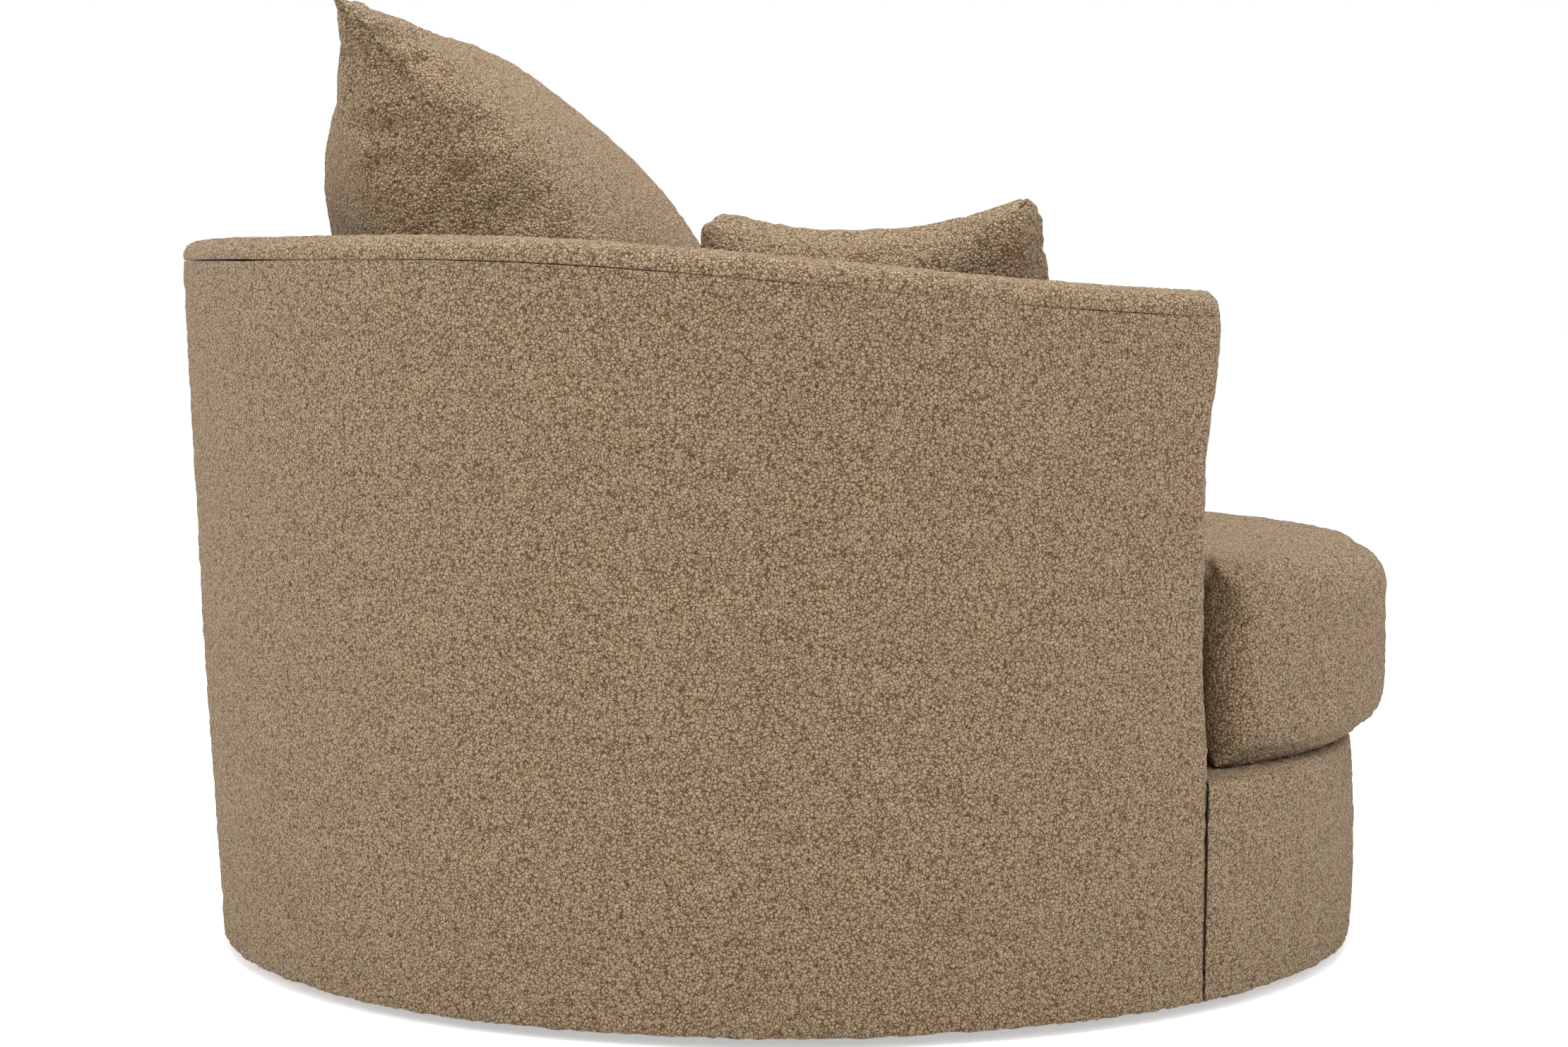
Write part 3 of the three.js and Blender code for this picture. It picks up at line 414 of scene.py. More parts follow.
def boucle_yarn(tree, place):
    """Looped yarn: each nub is a rounded blob of its own depth of colour, with painted shade towards
    its rim, and between nubs the ground, darkened further by painted shade.
    """
    wander = add_node(tree, "ShaderNodeTexNoise", {"Vector": place, "Scale": 1 / (2 * NUB_SIZE),
                                                   "Detail": 2.0})
    offset = add_node(tree, "ShaderNodeVectorMath", {0: wander.outputs["Color"], 1: NOISE_MIDDLE},
                      operation="SUBTRACT")
    shift = add_node(tree, "ShaderNodeVectorMath", {0: offset.outputs[0],
                                                    "Scale": NUB_WANDER / NOISE_REACH},
                     operation="SCALE")
    bent = add_node(tree, "ShaderNodeVectorMath", {0: place, 1: shift.outputs[0]}, operation="ADD")
    nubs = add_node(tree, "ShaderNodeTexVoronoi", {"Vector": bent.outputs[0], "Scale": 1 / NUB_SIZE})
    edges = add_node(tree, "ShaderNodeTexVoronoi", {"Vector": bent.outputs[0], "Scale": 1 / NUB_SIZE},
                     feature="DISTANCE_TO_EDGE")
    fibre = add_node(tree, "ShaderNodeTexNoise", {"Vector": place, "Scale": 1 / FIBRE_SIZE,
                                                  "Detail": 2.0})
    streaks = add_node(tree, "ShaderNodeTexNoise", {"Vector": place, "Scale": 1 / STREAK_SIZE,
                                                    "Detail": 3.0})
    loose = add_node(tree, "ShaderNodeTexNoise", {"Vector": place, "Scale": 1 / LOOSE_SIZE,
                                                  "Detail": 1.0})
    width = add_node(tree, "ShaderNodeMapRange", {"Value": loose.outputs["Fac"],
                                                  "From Min": LOOSE_SHARES[0],
                                                  "From Max": LOOSE_SHARES[1],
                                                  "To Min": CRACK_SHARES[0],
                                                  "To Max": CRACK_SHARES[1]})
    crack = add_node(tree, "ShaderNodeMapRange", {"Value": edges.outputs["Distance"], "From Min": 0.0,
                                                  "From Max": width.outputs[0], "To Min": 1.0,
                                                  "To Max": 0.0})
    # Painted shade: each nub darkens towards its rim, standing in for the shade round its dome.
    hollow = add_node(tree, "ShaderNodeMapRange", {"Value": nubs.outputs["Distance"],
                                                   "From Min": NUB_SHADE_SHARES[0],
                                                   "From Max": NUB_SHADE_SHARES[1]})
    gap_and_nub_shade = add_node(tree, "ShaderNodeMath", {0: crack.outputs[0], 1: hollow.outputs[0]},
                        operation="MAXIMUM")
    frayed = add_node(tree, "ShaderNodeMapRange", {"Value": fibre.outputs["Fac"],
                                                   "From Min": FIBRE_SHARES[0],
                                                   "From Max": FIBRE_SHARES[1],
                                                   "To Min": FRAY_LEAST_SHARE, "To Max": 1.0})
    soft_gap_and_nub_shade = add_node(tree, "ShaderNodeMath", {0: gap_and_nub_shade.outputs[0], 1: frayed.outputs[0]},
                        operation="MULTIPLY")
    gap = add_node(tree, "ShaderNodeMapRange", {"Value": soft_gap_and_nub_shade.outputs[0], "From Min": GAP_SHARES[0],
                                                "From Max": GAP_SHARES[1]})
    shade = add_node(tree, "ShaderNodeSeparateColor", {"Color": nubs.outputs["Color"]})
    patches = add_node(tree, "ShaderNodeTexNoise", {"Vector": place, "Scale": 1 / PATCH_SIZE,
                                                    "Detail": 3.0, "Roughness": PATCH_ROUGHNESS})
    drift = add_node(tree, "ShaderNodeMapRange", {"Value": patches.outputs["Fac"],
                                                  "From Min": PATCH_SHARES[0],
                                                  "From Max": PATCH_SHARES[1],
                                                  "To Min": DRIFT_SHARES[0], "To Max": DRIFT_SHARES[1]})
    own = add_node(tree, "ShaderNodeMix", {"Factor": NUB_HUE_SHARE, FIRST_VALUE: drift.outputs[0],
                                           SECOND_VALUE: shade.outputs["Green"]}, data_type="FLOAT")
    hue = add_node(tree, "ShaderNodeMix", {"Factor": own.outputs[0], FIRST_COLOUR: linear(YARN_GREEN),
                                           SECOND_COLOUR: linear(YARN_PINK)}, data_type="RGBA")
    paler = add_node(tree, "ShaderNodeMath", {0: shade.outputs["Red"], 1: PALE_SHARE},
                     operation="MULTIPLY")
    pale = add_node(tree, "ShaderNodeMix", {"Factor": paler.outputs[0],
                                            FIRST_COLOUR: hue.outputs[MIXED_COLOUR],
                                            SECOND_COLOUR: linear(YARN_PALE)}, data_type="RGBA")
    deeper = add_node(tree, "ShaderNodeMapRange", {"Value": streaks.outputs["Fac"],
                                                   "From Min": STREAK_SHARES[0],
                                                   "From Max": STREAK_SHARES[1],
                                                   "To Max": DEEP_SHARE})
    yarn = add_node(tree, "ShaderNodeMix", {"Factor": deeper.outputs[0],
                                            FIRST_COLOUR: pale.outputs[MIXED_COLOUR],
                                            SECOND_COLOUR: linear(YARN_DEEP)}, data_type="RGBA")
    # The dark brown in the gaps and nub rims is partly the ground yarn and partly painted shade.
    colour = add_node(tree, "ShaderNodeMix", {"Factor": gap.outputs[0],
                                              FIRST_COLOUR: yarn.outputs[MIXED_COLOUR],
                                              SECOND_COLOUR: linear(GROUND_AND_SHADE_BROWN)}, data_type="RGBA")
    dome = add_node(tree, "ShaderNodeMapRange", {"Value": nubs.outputs["Distance"],
                                                 "From Min": DOME_SHARES[0],
                                                 "From Max": DOME_SHARES[1],
                                                 "To Min": 1.0, "To Max": 0.0})
    bump = add_node(tree, "ShaderNodeBump", {"Height": dome.outputs[0], "Strength": 1.0,
                                             "Distance": NUB_HEIGHT})
    return {"Base Color": colour.outputs[MIXED_COLOUR], "Roughness": BOUCLE_ROUGHNESS,
            "Specular IOR Level": BOUCLE_SPECULAR, "Sheen Weight": BOUCLE_SHEEN,
            "Sheen Roughness": SHEEN_ROUGHNESS, "Sheen Tint": linear(SHEEN_TINT),
            "Normal": bump.outputs[0]}


boucle = finished("boucle", boucle_yarn)


# Outside cover. One piece of boucle pulled round the arms and back from the hem to the rim, over a
# thin wadding. It is wider towards the rim, sewn to the rim in a pinched seam, and turned in at the
# arm fronts round a soft corner.
HEM_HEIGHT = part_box("outside_cover")[0].z
HEM_RADIUS = 0.595
RIM_RADIUS = 0.6275
SHELL_BOW = 0.002
ARM_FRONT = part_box("outside_cover")[0].y
COVER_THICKNESS = 0.012
RIM_DEPTH = 0.020
BACK_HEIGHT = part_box("rim")[1].z
ARM_HEIGHT = 0.677
ARM_FRONT_DIP = 0.0077
ARM_HOLLOW_LEVELS = (0.22, 0.34)
ARM_FRONT_SWELL = 0.0045
ARM_SWELL_LEVELS = (0.51, 0.64)
RISE_FRONT = -0.492
RISE_BACK = 0.348
MESH_STEP = 0.0052
SEAM_ROLL = 0.0018
HEM_ROLL = 0.004
CORNER_ROLL = 0.009
INNER_STEPS = 16
INNER_ROWS = np.linspace(0, 1, INNER_STEPS + 1)[None, :]
ROLL_STEPS = 4
RIM_LINE_ROUNDS = 3
FUZZ_SIZE = 0.006
FUZZ_HEIGHT = 0.0016
SWELL_SIZE = 0.16
SWELL_HEIGHT = 0.0012
FUZZ_SEED = 7
SWELL_SEED = 8
CALM_REACH = 0.006
# Odd numbers that stir a lump's place and seed into one that looks random.
PLACE_FACTORS = np.array([73856093, 19349663, 83492791])
SEED_FACTOR = 7919
STIR_FACTOR = 1274126177


def ease(value, low=0.0, high=1.0):
    """A smooth rise from 0 to 1 while a value goes from low to high."""
    share = np.clip((value - low) / (high - low), 0, 1)
    return share * share * (3 - 2 * share)


def bow(share):
    """A parabola along a run: 0 at both its ends and 1 in its middle."""
    return 4 * share * (1 - share)


def lumps(points, size, seed):
    """Smooth random heights from -1 to 1 that change over lumps of the given size."""
    cell = np.floor(points / size).astype(np.int64)
    share = ease(points / size - cell)
    total = np.zeros(len(points))
    for corner in np.ndindex(2, 2, 2):
        key = (cell + corner) @ PLACE_FACTORS + seed * SEED_FACTOR
        key = (key ^ (key >> 13)) * STIR_FACTOR & 0xFFFFFFFF
        height = ((key ^ (key >> 16)) & 0xFFFF) / 0x7FFF - 1
        weight = np.prod(np.where(np.array(corner) == 1, share, 1 - share), axis=1)
        total += height * weight
    return total


def read_points(piece):
    found = np.empty(len(piece.data.vertices) * 3, np.float32)
    piece.data.vertices.foreach_get("co", found)
    return found.reshape(-1, 3).astype(float)


def read_normals(piece):
    return np.array([normal.vector for normal in piece.data.vertex_normals])


def write_points(piece, points):
    piece.data.vertices.foreach_set("co", points.astype(np.float32).ravel())
    piece.data.update()


def mesh_piece(name, points, faces):
    """A smooth-shaded piece whose faces are turned outwards."""
    mesh = bpy.data.meshes.new(name)
    mesh.from_pydata(np.asarray(points).tolist(), [], faces)
    work = bmesh.new()
    work.from_mesh(mesh)
    bmesh.ops.recalc_face_normals(work, faces=work.faces)
    if work.calc_volume(signed=True) < 0:
        bmesh.ops.reverse_faces(work, faces=work.faces)
    work.to_mesh(mesh)
    work.free()
    mesh.shade_smooth()
    piece = bpy.data.objects.new(name, mesh)
    scene.collection.objects.link(piece)
    return piece


def boucle_nap(piece, swell=SWELL_HEIGHT, calm=None):
    """Lifts the cover by its nubs, so that its outline is uneven, and by a slow swell."""
    points = read_points(piece)
    height = FUZZ_HEIGHT * lumps(points, FUZZ_SIZE, FUZZ_SEED)
    if calm:
        height *= 1 - np.exp(-(calm(points) / CALM_REACH) ** 2)
    height += swell * lumps(points, SWELL_SIZE, SWELL_SEED)
    write_points(piece, points + read_normals(piece) * height[:, None])


def upholster(piece, body, *nodes):
    """Covers a piece in boucle and puts it in place of its plain CAD solids."""
    piece.data.materials.clear()
    piece.data.materials.append(boucle)
    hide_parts(*nodes)
    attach(piece, body)
    return piece


def places(length, nose):
    """Distances along a strip, closer together within a nose's length of each end."""
    ends = nose * (1 - np.cos(np.linspace(0, math.pi / 2, ROLL_STEPS + 1)))[:-1]
    middle = np.linspace(nose, length - nose, max(2, round((length - 2 * nose) / MESH_STEP)))
    return np.concatenate([ends, middle, (length - ends)[::-1]])


def rolled(distance, radius):
    """How far a surface turns in, at a distance from an edge that is rounded to a radius."""
    short = np.clip(radius - distance, 0, radius)
    return radius - np.sqrt(radius ** 2 - short ** 2)


def shell_radius(z):
    up = (z - HEM_HEIGHT) / (ARM_HEIGHT - HEM_HEIGHT)
    return HEM_RADIUS + (RIM_RADIUS - HEM_RADIUS) * up + SHELL_BOW * bow(up)


def rim_top(y):
    """The height of the rim, which sweeps down from the back to the arms."""
    return ARM_HEIGHT + (BACK_HEIGHT - ARM_HEIGHT) * ease(y, RISE_FRONT, RISE_BACK)


def rim_seam(points):
    """How far above the rim's seam points are."""
    return points[:, 2] - rim_top(points[:, 1]) + RIM_DEPTH


def arm_front(z):
    """How far back the arm fronts lie at a height: hollow beside the seat and full under the rim."""
    hollow = ARM_FRONT_DIP * ease(z, *ARM_HOLLOW_LEVELS)
    full = (ARM_FRONT_DIP + ARM_FRONT_SWELL) * ease(z, *ARM_SWELL_LEVELS)
    return ARM_FRONT + hollow - full


def on_arc(along, radius, z):
    """Points on level arcs about the chair's axis: along runs from -1 to 1 between the arm fronts."""
    angle = along * np.arccos(arm_front(z) / radius)
    return np.stack(np.broadcast_arrays(radius * np.sin(angle), radius * np.cos(angle), z), axis=-1)


def wall_points(along, up, radius_at, bottom, drop, inset=0.0):
    """Points on a wall: up runs from its bottom to a line that lies a drop below the rim."""
    top = BACK_HEIGHT - drop
    for _ in range(RIM_LINE_ROUNDS):
        top = rim_top(on_arc(along, radius_at(top), top)[..., 1]) - drop
    z = bottom + (top - bottom) * up
    return on_arc(along, radius_at(z) + inset, z)


def end_faces(points, front, back):
    """Triangles across a strip's end, from each point of its front to the nearest of its back."""
    apart = np.linalg.norm(points[front][:, None] - points[back][None], axis=2)
    nearest = back[np.maximum.accumulate(apart.argmin(axis=1))].tolist()
    front = front.tolist()
    faces = [list(corners) for corners in zip(front, front[1:], nearest[1:])]
    steps = zip(front, nearest, nearest[1:])
    return faces + [[corner, far, near] for corner, near, far in steps if near != far]


def ring_faces(index):
    """Four-cornered faces between closed rings of points, given the points' numbers ring by ring."""
    after = np.roll(index, -1, axis=1)
    return np.stack([index[:-1], after[:-1], after[1:], index[1:]], axis=-1).reshape(-1, 4).tolist()


def closed_strip(name, front, back):
    """A closed piece between two grids of points, which run alike from section to section."""
    rings = np.concatenate([front, back[:, ::-1]], axis=1)
    points = rings.reshape(-1, 3)
    index = np.arange(len(points)).reshape(rings.shape[:2])
    turn = front.shape[1]
    ends = [end_faces(points, line[:turn], line[turn:][::-1]) for line in (index[0], index[-1])]
    return mesh_piece(name, points, ring_faces(index) + ends[0] + ends[1])


def shell_cover():
    length = 2 * RIM_RADIUS * math.acos(ARM_FRONT / RIM_RADIUS)
    height = ARM_HEIGHT - RIM_DEPTH - HEM_HEIGHT
    run = places(length, CORNER_ROLL)[:, None]
    rise = places(height, SEAM_ROLL)[None, :]
    along = 2 * run / length - 1
    inset = rolled(np.minimum(run, length - run), CORNER_ROLL)
    inset = inset + rolled(rise, HEM_ROLL) + rolled(height - rise, SEAM_ROLL)
    outer = wall_points(along, rise / height, shell_radius, HEM_HEIGHT, RIM_DEPTH, -inset)
    inner = wall_points(along, INNER_ROWS, lambda z: shell_radius(z) - COVER_THICKNESS,
                        HEM_HEIGHT, RIM_DEPTH)
    return closed_strip("outside_cover_boucle", outer, inner)


cover = shell_cover()
boucle_nap(cover, calm=rim_seam)
upholster(cover, "chair", "outside_cover")


# Inside lining. Boucle over a layer of foam on the inner face of the arms and back, from the seat
# deck up to the rim, turned round the inner corner of each arm front.
INNER_DECK_RADIUS = 0.497
INNER_RIM_RADIUS = 0.512
DECK_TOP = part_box("seat_deck")[1].z
LINING_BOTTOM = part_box("inside_lining")[0].z
LINING_THICKNESS = 0.012


def inner_radius(z):
    share = (z - DECK_TOP) / (ARM_HEIGHT - DECK_TOP)
    return INNER_DECK_RADIUS + (INNER_RIM_RADIUS - INNER_DECK_RADIUS) * share


def tub_lining():
    length = 2 * INNER_RIM_RADIUS * math.acos(ARM_FRONT / INNER_RIM_RADIUS)
    height = ARM_HEIGHT - RIM_DEPTH - LINING_BOTTOM
    run = places(length, CORNER_ROLL)[:, None]
    rise = places(height, SEAM_ROLL)[None, :]
    along = 2 * run / length - 1
    inset = rolled(np.minimum(run, length - run), CORNER_ROLL) + rolled(height - rise, SEAM_ROLL)
    face = wall_points(along, rise / height, inner_radius, LINING_BOTTOM, RIM_DEPTH, inset)
    back = wall_points(along, INNER_ROWS, lambda z: inner_radius(z) + LINING_THICKNESS,
                       LINING_BOTTOM, RIM_DEPTH)
    return closed_strip("inside_lining_boucle", face, back)


lining = tub_lining()
boucle_nap(lining, calm=rim_seam)
upholster(lining, "chair", "inside_lining")


# Rim. A padded band of boucle along the top of the arms and back, with rounded edges, sewn to the
# outside cover and the lining a little below its top and closed in a blunt nose at each arm front.
RIM_CORNER = 0.017
RIM_CROWN = 0.003
RIM_NOSE = 0.013
RIM_NOSE_SIDE_SHARE = 0.4
RIM_SEAM_SHARES = (0.0, 0.3, 1.0)
RIM_TOP_STEPS = 20
RIM_CORNER_STEPS = 6


def rim_band():
    length = 2 * RIM_RADIUS * math.acos(ARM_FRONT / RIM_RADIUS)
    run = places(length, RIM_NOSE)[:, None]
    along = 2 * run / length - 1
    nose = rolled(np.minimum(run, length - run), RIM_NOSE)
    turn = np.linspace(0, math.pi / 2, RIM_CORNER_STEPS + 1)
    seam_drops = RIM_DEPTH - np.array(RIM_SEAM_SHARES) * SEAM_ROLL
    seam_insets = rolled(RIM_DEPTH - seam_drops, SEAM_ROLL)
    drops = np.concatenate([seam_drops, RIM_CORNER * (1 - np.sin(turn))])
    insets = np.concatenate([seam_insets, RIM_CORNER * (1 - np.cos(turn))])
    sink = np.minimum(nose, RIM_DEPTH - drops)

    def edge(radius_at, side):
        return wall_points(along, np.ones_like(drops), radius_at, 0.0, drops + sink,
                           side * (insets + RIM_NOSE_SIDE_SHARE * nose))

    outer = edge(shell_radius, -1)
    inner = edge(inner_radius, 1)
    share = np.linspace(0, 1, RIM_TOP_STEPS + 1)[1:-1][None, :, None]
    top = outer[:, -1:] * (1 - share) + inner[:, -1:] * share
    top[..., 2] += RIM_CROWN * bow(share)[..., 0]
    upper = np.concatenate([outer, top, inner[:, ::-1]], axis=1)
    lower = np.concatenate([outer[:, :1], inner[:, :1]], axis=1)
    middle = (lower[:, :1] + lower[:, 1:]) / 2
    return closed_strip("rim_boucle", upper, middle)


rim = rim_band()
boucle_nap(rim, calm=rim_seam)
upholster(rim, "chair", "rim")


# Arm facings. A stiff board covered in boucle over thin foam is fixed in the front of each arm,
# between the turned edges of the outside cover and the lining.
FACING_PUFF = 0.004
FACING_ROLL = 0.0024
FACING_TUCK = 0.0016


def arm_facing(name, side):
    low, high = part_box(f"arm_facing_{name}")
    height = high.z - low.z
    rise = places(height, FACING_ROLL)[None, :]
    z = low.z + rise
    outer_x = np.sqrt((shell_radius(z) - COVER_THICKNESS + FACING_TUCK) ** 2 - ARM_FRONT ** 2)
    inner_x = np.sqrt((inner_radius(z) + LINING_THICKNESS - FACING_TUCK) ** 2 - ARM_FRONT ** 2)
    width = float(np.mean(outer_x - inner_x))
    across = places(width, FACING_ROLL)[:, None]
    share = across / width
    x = side * (inner_x + (outer_x - inner_x) * share)
    edge = np.minimum(np.minimum(across, width - across), np.minimum(rise, height - rise))
    y = arm_front(z) + rolled(edge, FACING_ROLL) - FACING_PUFF * bow(share) * (edge > 0)
    front = np.stack(np.broadcast_arrays(x, y, z), axis=-1)
    back = front[:, [0, -1]].copy()
    back[..., 1] = ARM_FRONT + COVER_THICKNESS
    return closed_strip(f"arm_facing_{name}_boucle", front, back)


for facing_name, facing_side in (("left", 1), ("right", -1)):
    facing = arm_facing(facing_name, facing_side)
    boucle_nap(facing)
    upholster(facing, "chair", f"arm_facing_{facing_name}")


# Front panel. Boucle over the bent board below the seat, on a shallower curve than the shell, sewn
# to the outside cover in an upright seam at each side. It is turned over the top of the board and
# runs back under the seat cushion, over the front edge of the platform cloth.
FRONT_HEM_REACH = 0.597
FRONT_BOW = 0.0055
FRONT_SEAM_ROLL = 0.002
FRONT_TOP_ROLL = 0.009
FLAP_LIFT = 0.0022
FLAP_REACH = 0.07
FLAP_BACK_LIFT = 0.0002
FLAP_END_LIFT = 0.0005
FLAP_STEPS = 12


def front_arc(z):
    """Radius and centre of the front panel's arc, which meets the shell at the arm fronts."""
    up = (z - HEM_HEIGHT) / (DECK_TOP - HEM_HEIGHT)
    reach = FRONT_HEM_REACH + FRONT_BOW * bow(up)
    rise = reach + ARM_FRONT
    half_chord_squared = shell_radius(z) ** 2 - ARM_FRONT ** 2
    radius = (half_chord_squared + rise ** 2) / (2 * rise)
    return radius, radius - reach


def front_points(along, z, inset):
    radius, centre_y = front_arc(z)
    angle = along * np.arccos((centre_y - ARM_FRONT) / (radius - inset))
    x = (radius - inset) * np.sin(angle)
    y = centre_y - (radius - inset) * np.cos(angle)
    return np.stack(np.broadcast_arrays(x, y, z), axis=-1)


def panel_below_seat():
    radius, centre_y = front_arc(HEM_HEIGHT)
    length = 2 * radius * math.acos((centre_y - ARM_FRONT) / radius)
    height = DECK_TOP + FLAP_LIFT - HEM_HEIGHT
    run = places(length, FRONT_SEAM_ROLL)[:, None]
    rise = places(height, FRONT_TOP_ROLL)[None, :]
    inset = rolled(rise, HEM_ROLL) + rolled(height - rise, FRONT_TOP_ROLL)
    share = np.linspace(0, 1, FLAP_STEPS + 1)[None, 1:]
    flap_inset = FRONT_TOP_ROLL + (FLAP_REACH - FRONT_TOP_ROLL) * share
    flap_z = DECK_TOP + FLAP_LIFT + (FLAP_END_LIFT - FLAP_LIFT) * share
    inset = np.concatenate([inset, flap_inset], axis=1)
    inset = inset + rolled(np.minimum(run, length - run), FRONT_SEAM_ROLL)
    z = np.concatenate([HEM_HEIGHT + rise, flap_z], axis=1)
    face = front_points(2 * run / length - 1, z, inset)
    back_inset = np.array([[COVER_THICKNESS, COVER_THICKNESS, FLAP_REACH]])
    back_z = np.array([[HEM_HEIGHT, DECK_TOP + FLAP_BACK_LIFT, DECK_TOP + FLAP_BACK_LIFT]])
    back = front_points(2 * run / length - 1, back_z, back_inset)
    return closed_strip("front_panel_boucle", face, back)


front_panel = panel_below_seat()
boucle_nap(front_panel)
upholster(front_panel, "chair", "front_panel")


# Seat cushion. A loose boxed cushion of foam wrapped in fibre: a disc between the arms that widens
# into two ears in front of them. Its border bows out, its top is crowned, and the seams round the
# top and bottom are pulled in a little.
SEAT_REACH = 0.6375
SEAT_SIDE_GAP = 0.004
SEAT_FRONT_RADIUS = 0.4475
SEAT_EAR_RADIUS = 0.038
SEAT_EAR_LEAST_RADIUS = 0.002
SEAT_FACING_GAP = 0.005
SEAT_BORDER_TOP = 0.421
SEAT_PULL = 0.045
SEAT_LEAST_PULL = 0.002
SEAT_PULL_POWER = 5.5
SEAT_EAR_PULL_SHARE = 0.3
SEAT_SIDE_PULL_SHARE = 0.35
SEAT_CROWN = 0.015
SEAT_CROWN_RUN = 0.12
SEAT_TOP_SEAM_DROP = 0.008
# The level and depth of the seams round the top and the bottom.
SEAT_SEAMS = ((SEAT_BORDER_TOP - SEAT_TOP_SEAM_DROP, 0.0024), (0.234, 0.003))
SEAT_SEAM_WIDTH = 0.0045
SEAT_VOXEL = 0.0056
SEAT_DIMPLE = 0.006
SEAT_DIMPLE_PLACE = (-0.360, -0.416, 0.380)
SEAT_DIMPLE_SIZE = (0.03, 0.018, 0.03)
SEAM_SLOPE = 0.9
SEAT_ROWS = 24
SEAT_ARC_STEPS = (40, 10, 6, 60)
CUSHION_SWELL = 0.0025


def arc_points(centre, radius, start, end, steps):
    angle = np.linspace(start, end, steps + 1)
    return np.stack([centre[0] + radius * np.cos(angle), centre[1] + radius * np.sin(angle)], axis=-1)


def seat_half_outline(z, inset):
    """Half of the cushion's outline, from the middle of its front to the middle of its back."""
    disc_radius = inner_radius(z) - SEAT_SIDE_GAP - inset
    front_radius = SEAT_FRONT_RADIUS - inset
    front_centre_y = SEAT_FRONT_RADIUS - SEAT_REACH
    ear_radius = max(SEAT_EAR_RADIUS - inset, SEAT_EAR_LEAST_RADIUS)
    back_edge = ARM_FRONT - SEAT_FACING_GAP
    back_inset = SEAT_EAR_PULL_SHARE * inset
    ear_y = back_edge - back_inset - ear_radius
    ear_angle = math.asin((ear_y - front_centre_y) / (front_radius - ear_radius))
    ear_x = (front_radius - ear_radius) * math.cos(ear_angle)
    notch_x = math.sqrt((disc_radius + inset) ** 2 - back_edge ** 2)
    notch_angle = math.atan2(back_edge, notch_x)
    front_steps, ear_steps, notch_steps, side_steps = SEAT_ARC_STEPS
    quarter = math.pi / 2
    widen = (1 + (1 - SEAT_SIDE_PULL_SHARE) * inset / ear_x, 1)
    turn = np.linspace(-quarter, notch_angle - math.pi, notch_steps + 1)
    notch_inset = np.linspace(back_inset, inset, notch_steps + 1)
    notch = np.stack([notch_x + inset * np.cos(turn), back_edge + notch_inset * np.sin(turn)], axis=-1)
    return np.concatenate([
        arc_points((0, front_centre_y), front_radius, -quarter, ear_angle, front_steps) * widen,
        arc_points((ear_x, ear_y), ear_radius, ear_angle, quarter, ear_steps)[1:] * widen,
        notch,
        arc_points((0, 0), disc_radius, notch_angle, quarter, side_steps)[1:],
    ])


def seat_outline(z, inset):
    half = seat_half_outline(z, inset)
    return np.concatenate([half, half[-2:0:-1] * (-1, 1)])


def freeze(piece):
    """Puts a piece's modifiers into its mesh."""
    fixed = bpy.data.meshes.new_from_object(piece.evaluated_get(bpy.context.evaluated_depsgraph_get()))
    piece.modifiers.clear()
    piece.data = fixed
    fixed.shade_smooth()


def even_mesh(piece, voxel):
    """Rebuilds a piece in even faces about a voxel across."""
    remesh = piece.modifiers.new("Even", "REMESH")
    remesh.mode = "VOXEL"
    remesh.voxel_size = voxel
    freeze(piece)


def loose_seat():
    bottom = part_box("seat_cushion")[0].z
    middle = (bottom + SEAT_BORDER_TOP) / 2
    half_height = (SEAT_BORDER_TOP - bottom) / 2
    turns = np.linspace(-math.pi / 2, math.pi / 2, SEAT_ROWS + 1)
    rings = []
    for share in np.sin(turns):
        z = middle + half_height * share
        pull = SEAT_PULL * abs(share) ** SEAT_PULL_POWER
        outline = seat_outline(z, max(pull, SEAT_LEAST_PULL))
        rings.append(np.column_stack([outline, np.full(len(outline), z)]))
    index = np.arange(len(rings) * len(rings[0])).reshape(len(rings), -1)
    caps = [index[0].tolist(), index[-1].tolist()]
    piece = mesh_piece("seat_cushion_boucle", np.concatenate(rings), ring_faces(index) + caps)
    even_mesh(piece, SEAT_VOXEL)
    return piece


def plan_tree(points):
    """A tree that finds the nearest of some points in plan."""
    tree = kdtree.KDTree(len(points))
    for place, point in enumerate(points):
        tree.insert((point[0], point[1], 0), place)
    tree.balance()
    return tree


def crown_seat(piece):
    """Raises the top between its edges, pulls the two seams in and dents the border at each arm."""
    points = read_points(piece)
    normals = read_normals(piece)
    tree = plan_tree(seat_outline(SEAT_BORDER_TOP, SEAT_PULL))
    inward = np.array([tree.find((x, y, 0))[2] for x, y in points[:, :2]])
    on_top = np.clip((points[:, 2] - SEAT_BORDER_TOP + SEAT_VOXEL) / SEAT_VOXEL, 0, 1)
    points[:, 2] += SEAT_CROWN * on_top * (1 - np.exp(-inward / SEAT_CROWN_RUN))
    upright = np.abs(normals[:, 2]) <= SEAM_SLOPE
    for level, depth in SEAT_SEAMS:
        gap = points[:, 2] - level
        points -= normals * (depth * upright * np.exp(-(gap / SEAT_SEAM_WIDTH) ** 2))[:, None]
    for side in (1, -1):
        away = (points - np.array(SEAT_DIMPLE_PLACE) * (side, 1, 1)) / SEAT_DIMPLE_SIZE
        points -= normals * (SEAT_DIMPLE * np.exp(-(away ** 2).sum(axis=1)))[:, None]
    write_points(piece, points)


seat = loose_seat()
crown_seat(seat)
boucle_nap(seat, CUSHION_SWELL)
upholster(seat, "seat_cushion", "seat_cushion")


# Back cushion. A big knife-edge cushion filled with fibre: two panels sewn together round their
# edges, slumped so that its foot is fatter than its head. The panels swell past the seam, which lies
# in a valley between them, and the corners are drawn out into points that flop back.
BACK_SIZE = (0.716, 0.612, 0.340)
BACK_LEAN = math.radians(26)
BACK_PLACE = (0.0, 0.283, 0.705)
